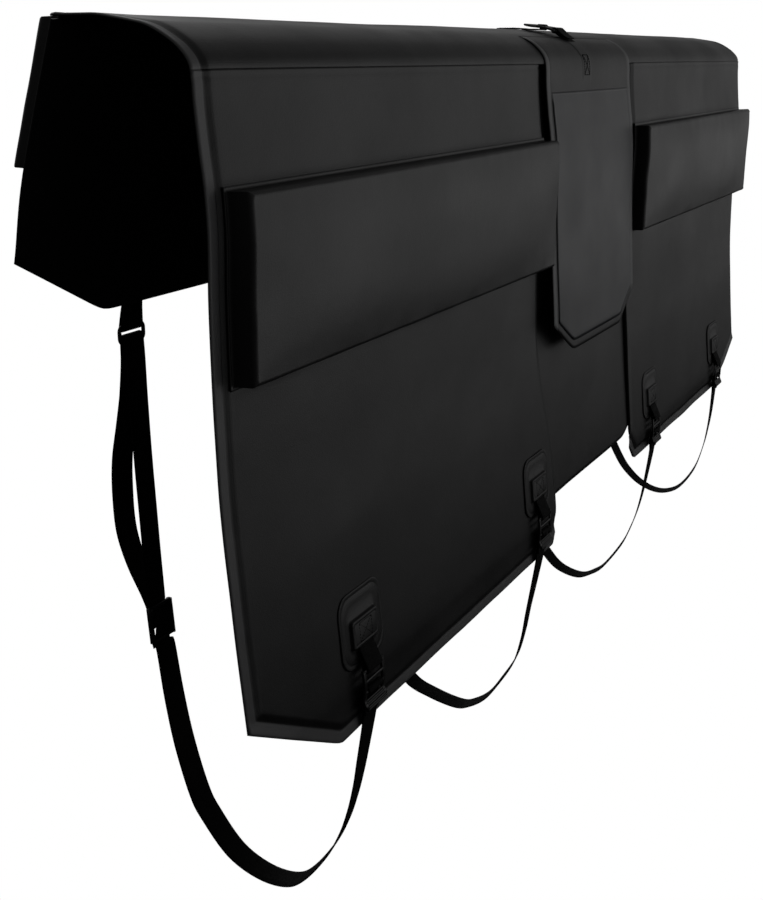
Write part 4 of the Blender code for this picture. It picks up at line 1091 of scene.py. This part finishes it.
def flap_tab():
    """Webbing sewn under the flap's upper end, out to the ridge buckle's first bar and back."""
    start = COVER.at_drop(0.049)
    bar = RIDGE_START - BAR / 2
    lower = TOP_STACK + GAP + WEB_T / 2
    under = SWELL + 0.0002 + WEB_T / 2
    leave = bar + TURN * 1.5
    route = []
    for s in spaced(start, leave, 0.004):
        extra = flap_off(COVER.drop(s)) - flap_off(0.0)
        route.append((s, under + extra + (lower - under) * step(1.2 - (s - leave) / 0.007)))
    route += arc(bar, TOP_MID, TURN, -70, -290, 8)
    end = bar + TURN
    route += [(end + 0.004, lower + WEB_STEP * 1.7), (end + 0.009, lower + WEB_STEP), (end + 0.014, lower + WEB_STEP)]
    flat_web("flap_tab_webbing", [cover(TAB_X, s, off) for s, off in route], "flap_tab", per_span=4)

    def place(u, v, lift):
        d = 0.0285 + v
        return front(TAB_X + u, d, flap_off(d) + FLAP_T + 0.0005 + lift)

    stitches("flap_tab_stitch", box_cross(0.0088, 0.0, 0.0195), place, spacing=0.0023, length=0.0020, radius=0.00042)


def centre_strap():
    """Webbing from its sewn end by the rear crease over the ridge, round the buckle's friction bar."""
    floor = TOP_STACK + GAP + WEB_T / 2
    seat = SWELL + GAP + WEB_T / 2
    end = RIDGE_START - COVER.at_y(STRAP_END_Y)
    route = [(end, seat), (FRICTION + 0.026, seat), (FRICTION + 0.018, seat), (FRICTION + 0.012, seat + WEB_T * 0.5),
             (FRICTION + 0.006, floor - WEB_T * 0.4), (FRICTION + 0.002, floor)]
    route += [(down, TOP_MID + lift) for down, lift in arc(FRICTION, 0.0, TURN, -105, -365, 9)]
    points = [cover(TAB_X, RIDGE_START - down, level) for down, level in route]
    flat_web("centre_strap_webbing", points, "centre_strap")

    def place(u, v, lift):
        return cover(TAB_X + u, RIDGE_START - end + v, seat + WEB_T / 2 + lift)

    stitches("centre_strap_stitch", box_cross(0.0098, 0.002, 0.020), place)


# ---- build
top_panel()
FAR_BLOCK = LENGTH - BLOCK_INSET - BLOCK_WIDTH
block_ends = (BLOCK_TOP, BLOCK_TOP + BLOCK_HEIGHT)
left = front_panel("front_cloth_left", "front_panel_left", 0.0, LEFT_DROP, LEFT_CORNER, (0.010, 0.010), FLARE,
                   True, False, 11.0, (BLOCK_INSET, BLOCK_INSET + BLOCK_WIDTH) + block_ends)
right = front_panel("front_cloth_right", "front_panel_right", LENGTH - SIDE_WIDTH, RIGHT_DROP, (0.020, 0.020),
                    RIGHT_CORNER, 0.0, False, True, 13.0, (FAR_BLOCK, LENGTH - BLOCK_INSET) + block_ends)
centre_panel()
back_panel()
front_seat = SWELL + GAP + 0.001
blocks = [
    bumper("bumper_cloth_left", "bumper_cover_left", BLOCK_INSET, BLOCK_WIDTH, BLOCK_TOP, BLOCK_HEIGHT, BLOCK_DEPTH,
           (BRIM,) * 4, front, front_seat, 61.0),
    bumper("bumper_cloth_right", "bumper_cover_right", FAR_BLOCK, BLOCK_WIDTH, BLOCK_TOP, BLOCK_HEIGHT, BLOCK_DEPTH,
           (BRIM,) * 4, front, front_seat, 67.0),
    bumper("bumper_cloth_rear", "bumper_cover_rear", 0.0125, LENGTH - 0.025, 0.0012, 0.1025, 0.0205,
           (BRIM, BRIM, 0.001, BRIM), back, GAP + 0.001, 71.0)]
access_flap()
flap_panel()
flap_tab()
ladder_buckle("ridge_buckle", "top_buckle",
              lambda x, down, lift: cover(TAB_X + x, RIDGE_START - down, TOP_MID + lift), tilt=0.05)
centre_strap()
for index in range(4):
    patch(index)
    anchor_web(index)
    ladder_buckle(f"ladder_buckle_{index + 1}", f"front_buckle_{index + 1}",
                  lambda x, down, lift, k=index: front(STATIONS[k] + x, BUCKLE_DROP + down, BUCKLE_MID + lift))
    rear_web(index)
    ring_piece(index)

for name in ("bumper_foam_left", "bumper_foam_right", "bumper_foam_rear"):
    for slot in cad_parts[name].material_slots:
        slot.material = FOAM

# ---- floor, world and lamps
WHITE = (1.0, 1.0, 1.0)


def white_to_camera(g, lit, kind, output):
    """The lit shader for the object, and plain white wherever the camera sees past it."""
    plain = g.new(kind)
    g.feed(plain.inputs["Color"], WHITE)
    g.feed(plain.inputs["Strength"], 1.0)
    mix = g.new("MixShader")
    g.link(g.new("LightPath").outputs["Is Camera Ray"], mix.inputs["Fac"])
    g.link(lit, mix.inputs[1])
    g.link(plain.outputs[0], mix.inputs[2])
    g.link(mix.outputs["Shader"], g.nodes[output].inputs["Surface"])


def floor_with_painted_glow():
    """A wide floor that glows as painted light, pale in front of the pad and beyond, and dark under the pad as
    painted shade; the camera sees it plain white.
    """
    mesh = bpy.data.meshes.new("floor")
    bm = bmesh.new()
    bmesh.ops.create_grid(bm, x_segments=1, y_segments=1, size=40.0)
    bm.to_mesh(mesh)
    bm.free()
    floor = bpy.data.objects.new("floor", mesh)
    floor.location = (0.0, 0.0, -0.80)
    scene.collection.objects.link(floor)
    material, g, shader, place = new_material("floor_with_painted_glow")
    g.feed(shader.inputs["Base Color"], (0.03, 0.03, 0.03))
    shader.inputs["Roughness"].default_value = 0.9
    shader.inputs["Specular IOR Level"].default_value = 0.1
    place = g.axes(place)
    # painted light and shade: the floor's glow fades to black under the pad and rises to white in front of it and
    # beyond
    out = g.ramp(place["Y"], -0.80, -1.90, 0.0, 0.80)
    far = g.ramp(place["X"], 1.4, 3.6, 1.0, 0.60)
    near = g.ramp(place["X"], -1.0, 0.4, 0.08, 1.0)
    lit = g.math("MULTIPLY", g.math("MULTIPLY", out, far), near)
    g.link(g.mix(lit, (0.0, 0.0, 0.0), WHITE), shader.inputs["Emission Color"])
    shader.inputs["Emission Strength"].default_value = 1.0
    white_to_camera(g, shader.outputs["BSDF"], "Emission", "Material Output")
    mesh.materials.append(material)
    return floor


def studio_world():
    """A soft studio: a dim band ahead of the pad, a brighter one behind it, and little from the near end."""
    world = bpy.data.worlds.new("studio")
    scene.world = world
    world.use_nodes = True
    g = Graph(world.node_tree)
    way = g.axes(g.new("TexCoord").outputs["Generated"])

    def by_height(stops):
        """Brightness by the height of a direction, from straight down to straight up."""
        ramp = g.new("ValToRGB")
        g.link(g.ramp(way["Z"], -1.0, 1.0, 0.0, 1.0), ramp.inputs["Fac"])
        while len(ramp.color_ramp.elements) < len(stops):
            ramp.color_ramp.elements.new(0.5)
        for element, (position, value) in zip(ramp.color_ramp.elements, stops):
            element.position = position
            element.color = (value, value, value, 1.0)
        return ramp.outputs["Color"]

    ahead = by_height(((0.0, 0.05), (0.48, 0.27), (0.62, 0.31), (0.69, 0.09), (0.75, 0.07), (1.0, 0.14)))
    behind = by_height(((0.0, 0.05), (0.50, 0.30), (0.60, 0.42), (0.68, 0.50), (0.72, 0.24), (1.0, 0.10)))
    around = g.mix(g.ramp(way["Y"], 0.08, 0.32, 0.0, 1.0), ahead, behind)
    side = g.ramp(way["X"], -0.55, 0.35, 0.22, 1.0)
    sky = g.nodes["Background"]
    g.link(g.math("MULTIPLY", around, side), sky.inputs["Strength"])
    g.feed(sky.inputs["Color"], WHITE)
    white_to_camera(g, sky.outputs["Background"], "Background", "World Output")


def area(name, location, target, size, power):
    """A soft rectangular lamp turned to a target."""
    data = bpy.data.lights.new(name, "AREA")
    data.shape = "RECTANGLE"
    data.size, data.size_y = size
    data.energy = power
    lamp = bpy.data.objects.new(name, data)
    scene.collection.objects.link(lamp)
    lamp.location = location
    lamp.rotation_euler = (Vector(target) - Vector(location)).to_track_quat("-Z", "Y").to_euler()


floor_with_painted_glow()
studio_world()
area("overhead", (0.9, 1.2, 2.4), (0.1, 0.0, 0.0), (2.6, 1.6), 4.0)
area("front_fill", (1.9, -2.4, 0.5), (0.2, 0.0, -0.2), (2.0, 1.2), 2.0)
area("rear_fill", (1.4, 2.8, 0.9), (0.0, 0.0, -0.2), (2.4, 1.4), 6.0)
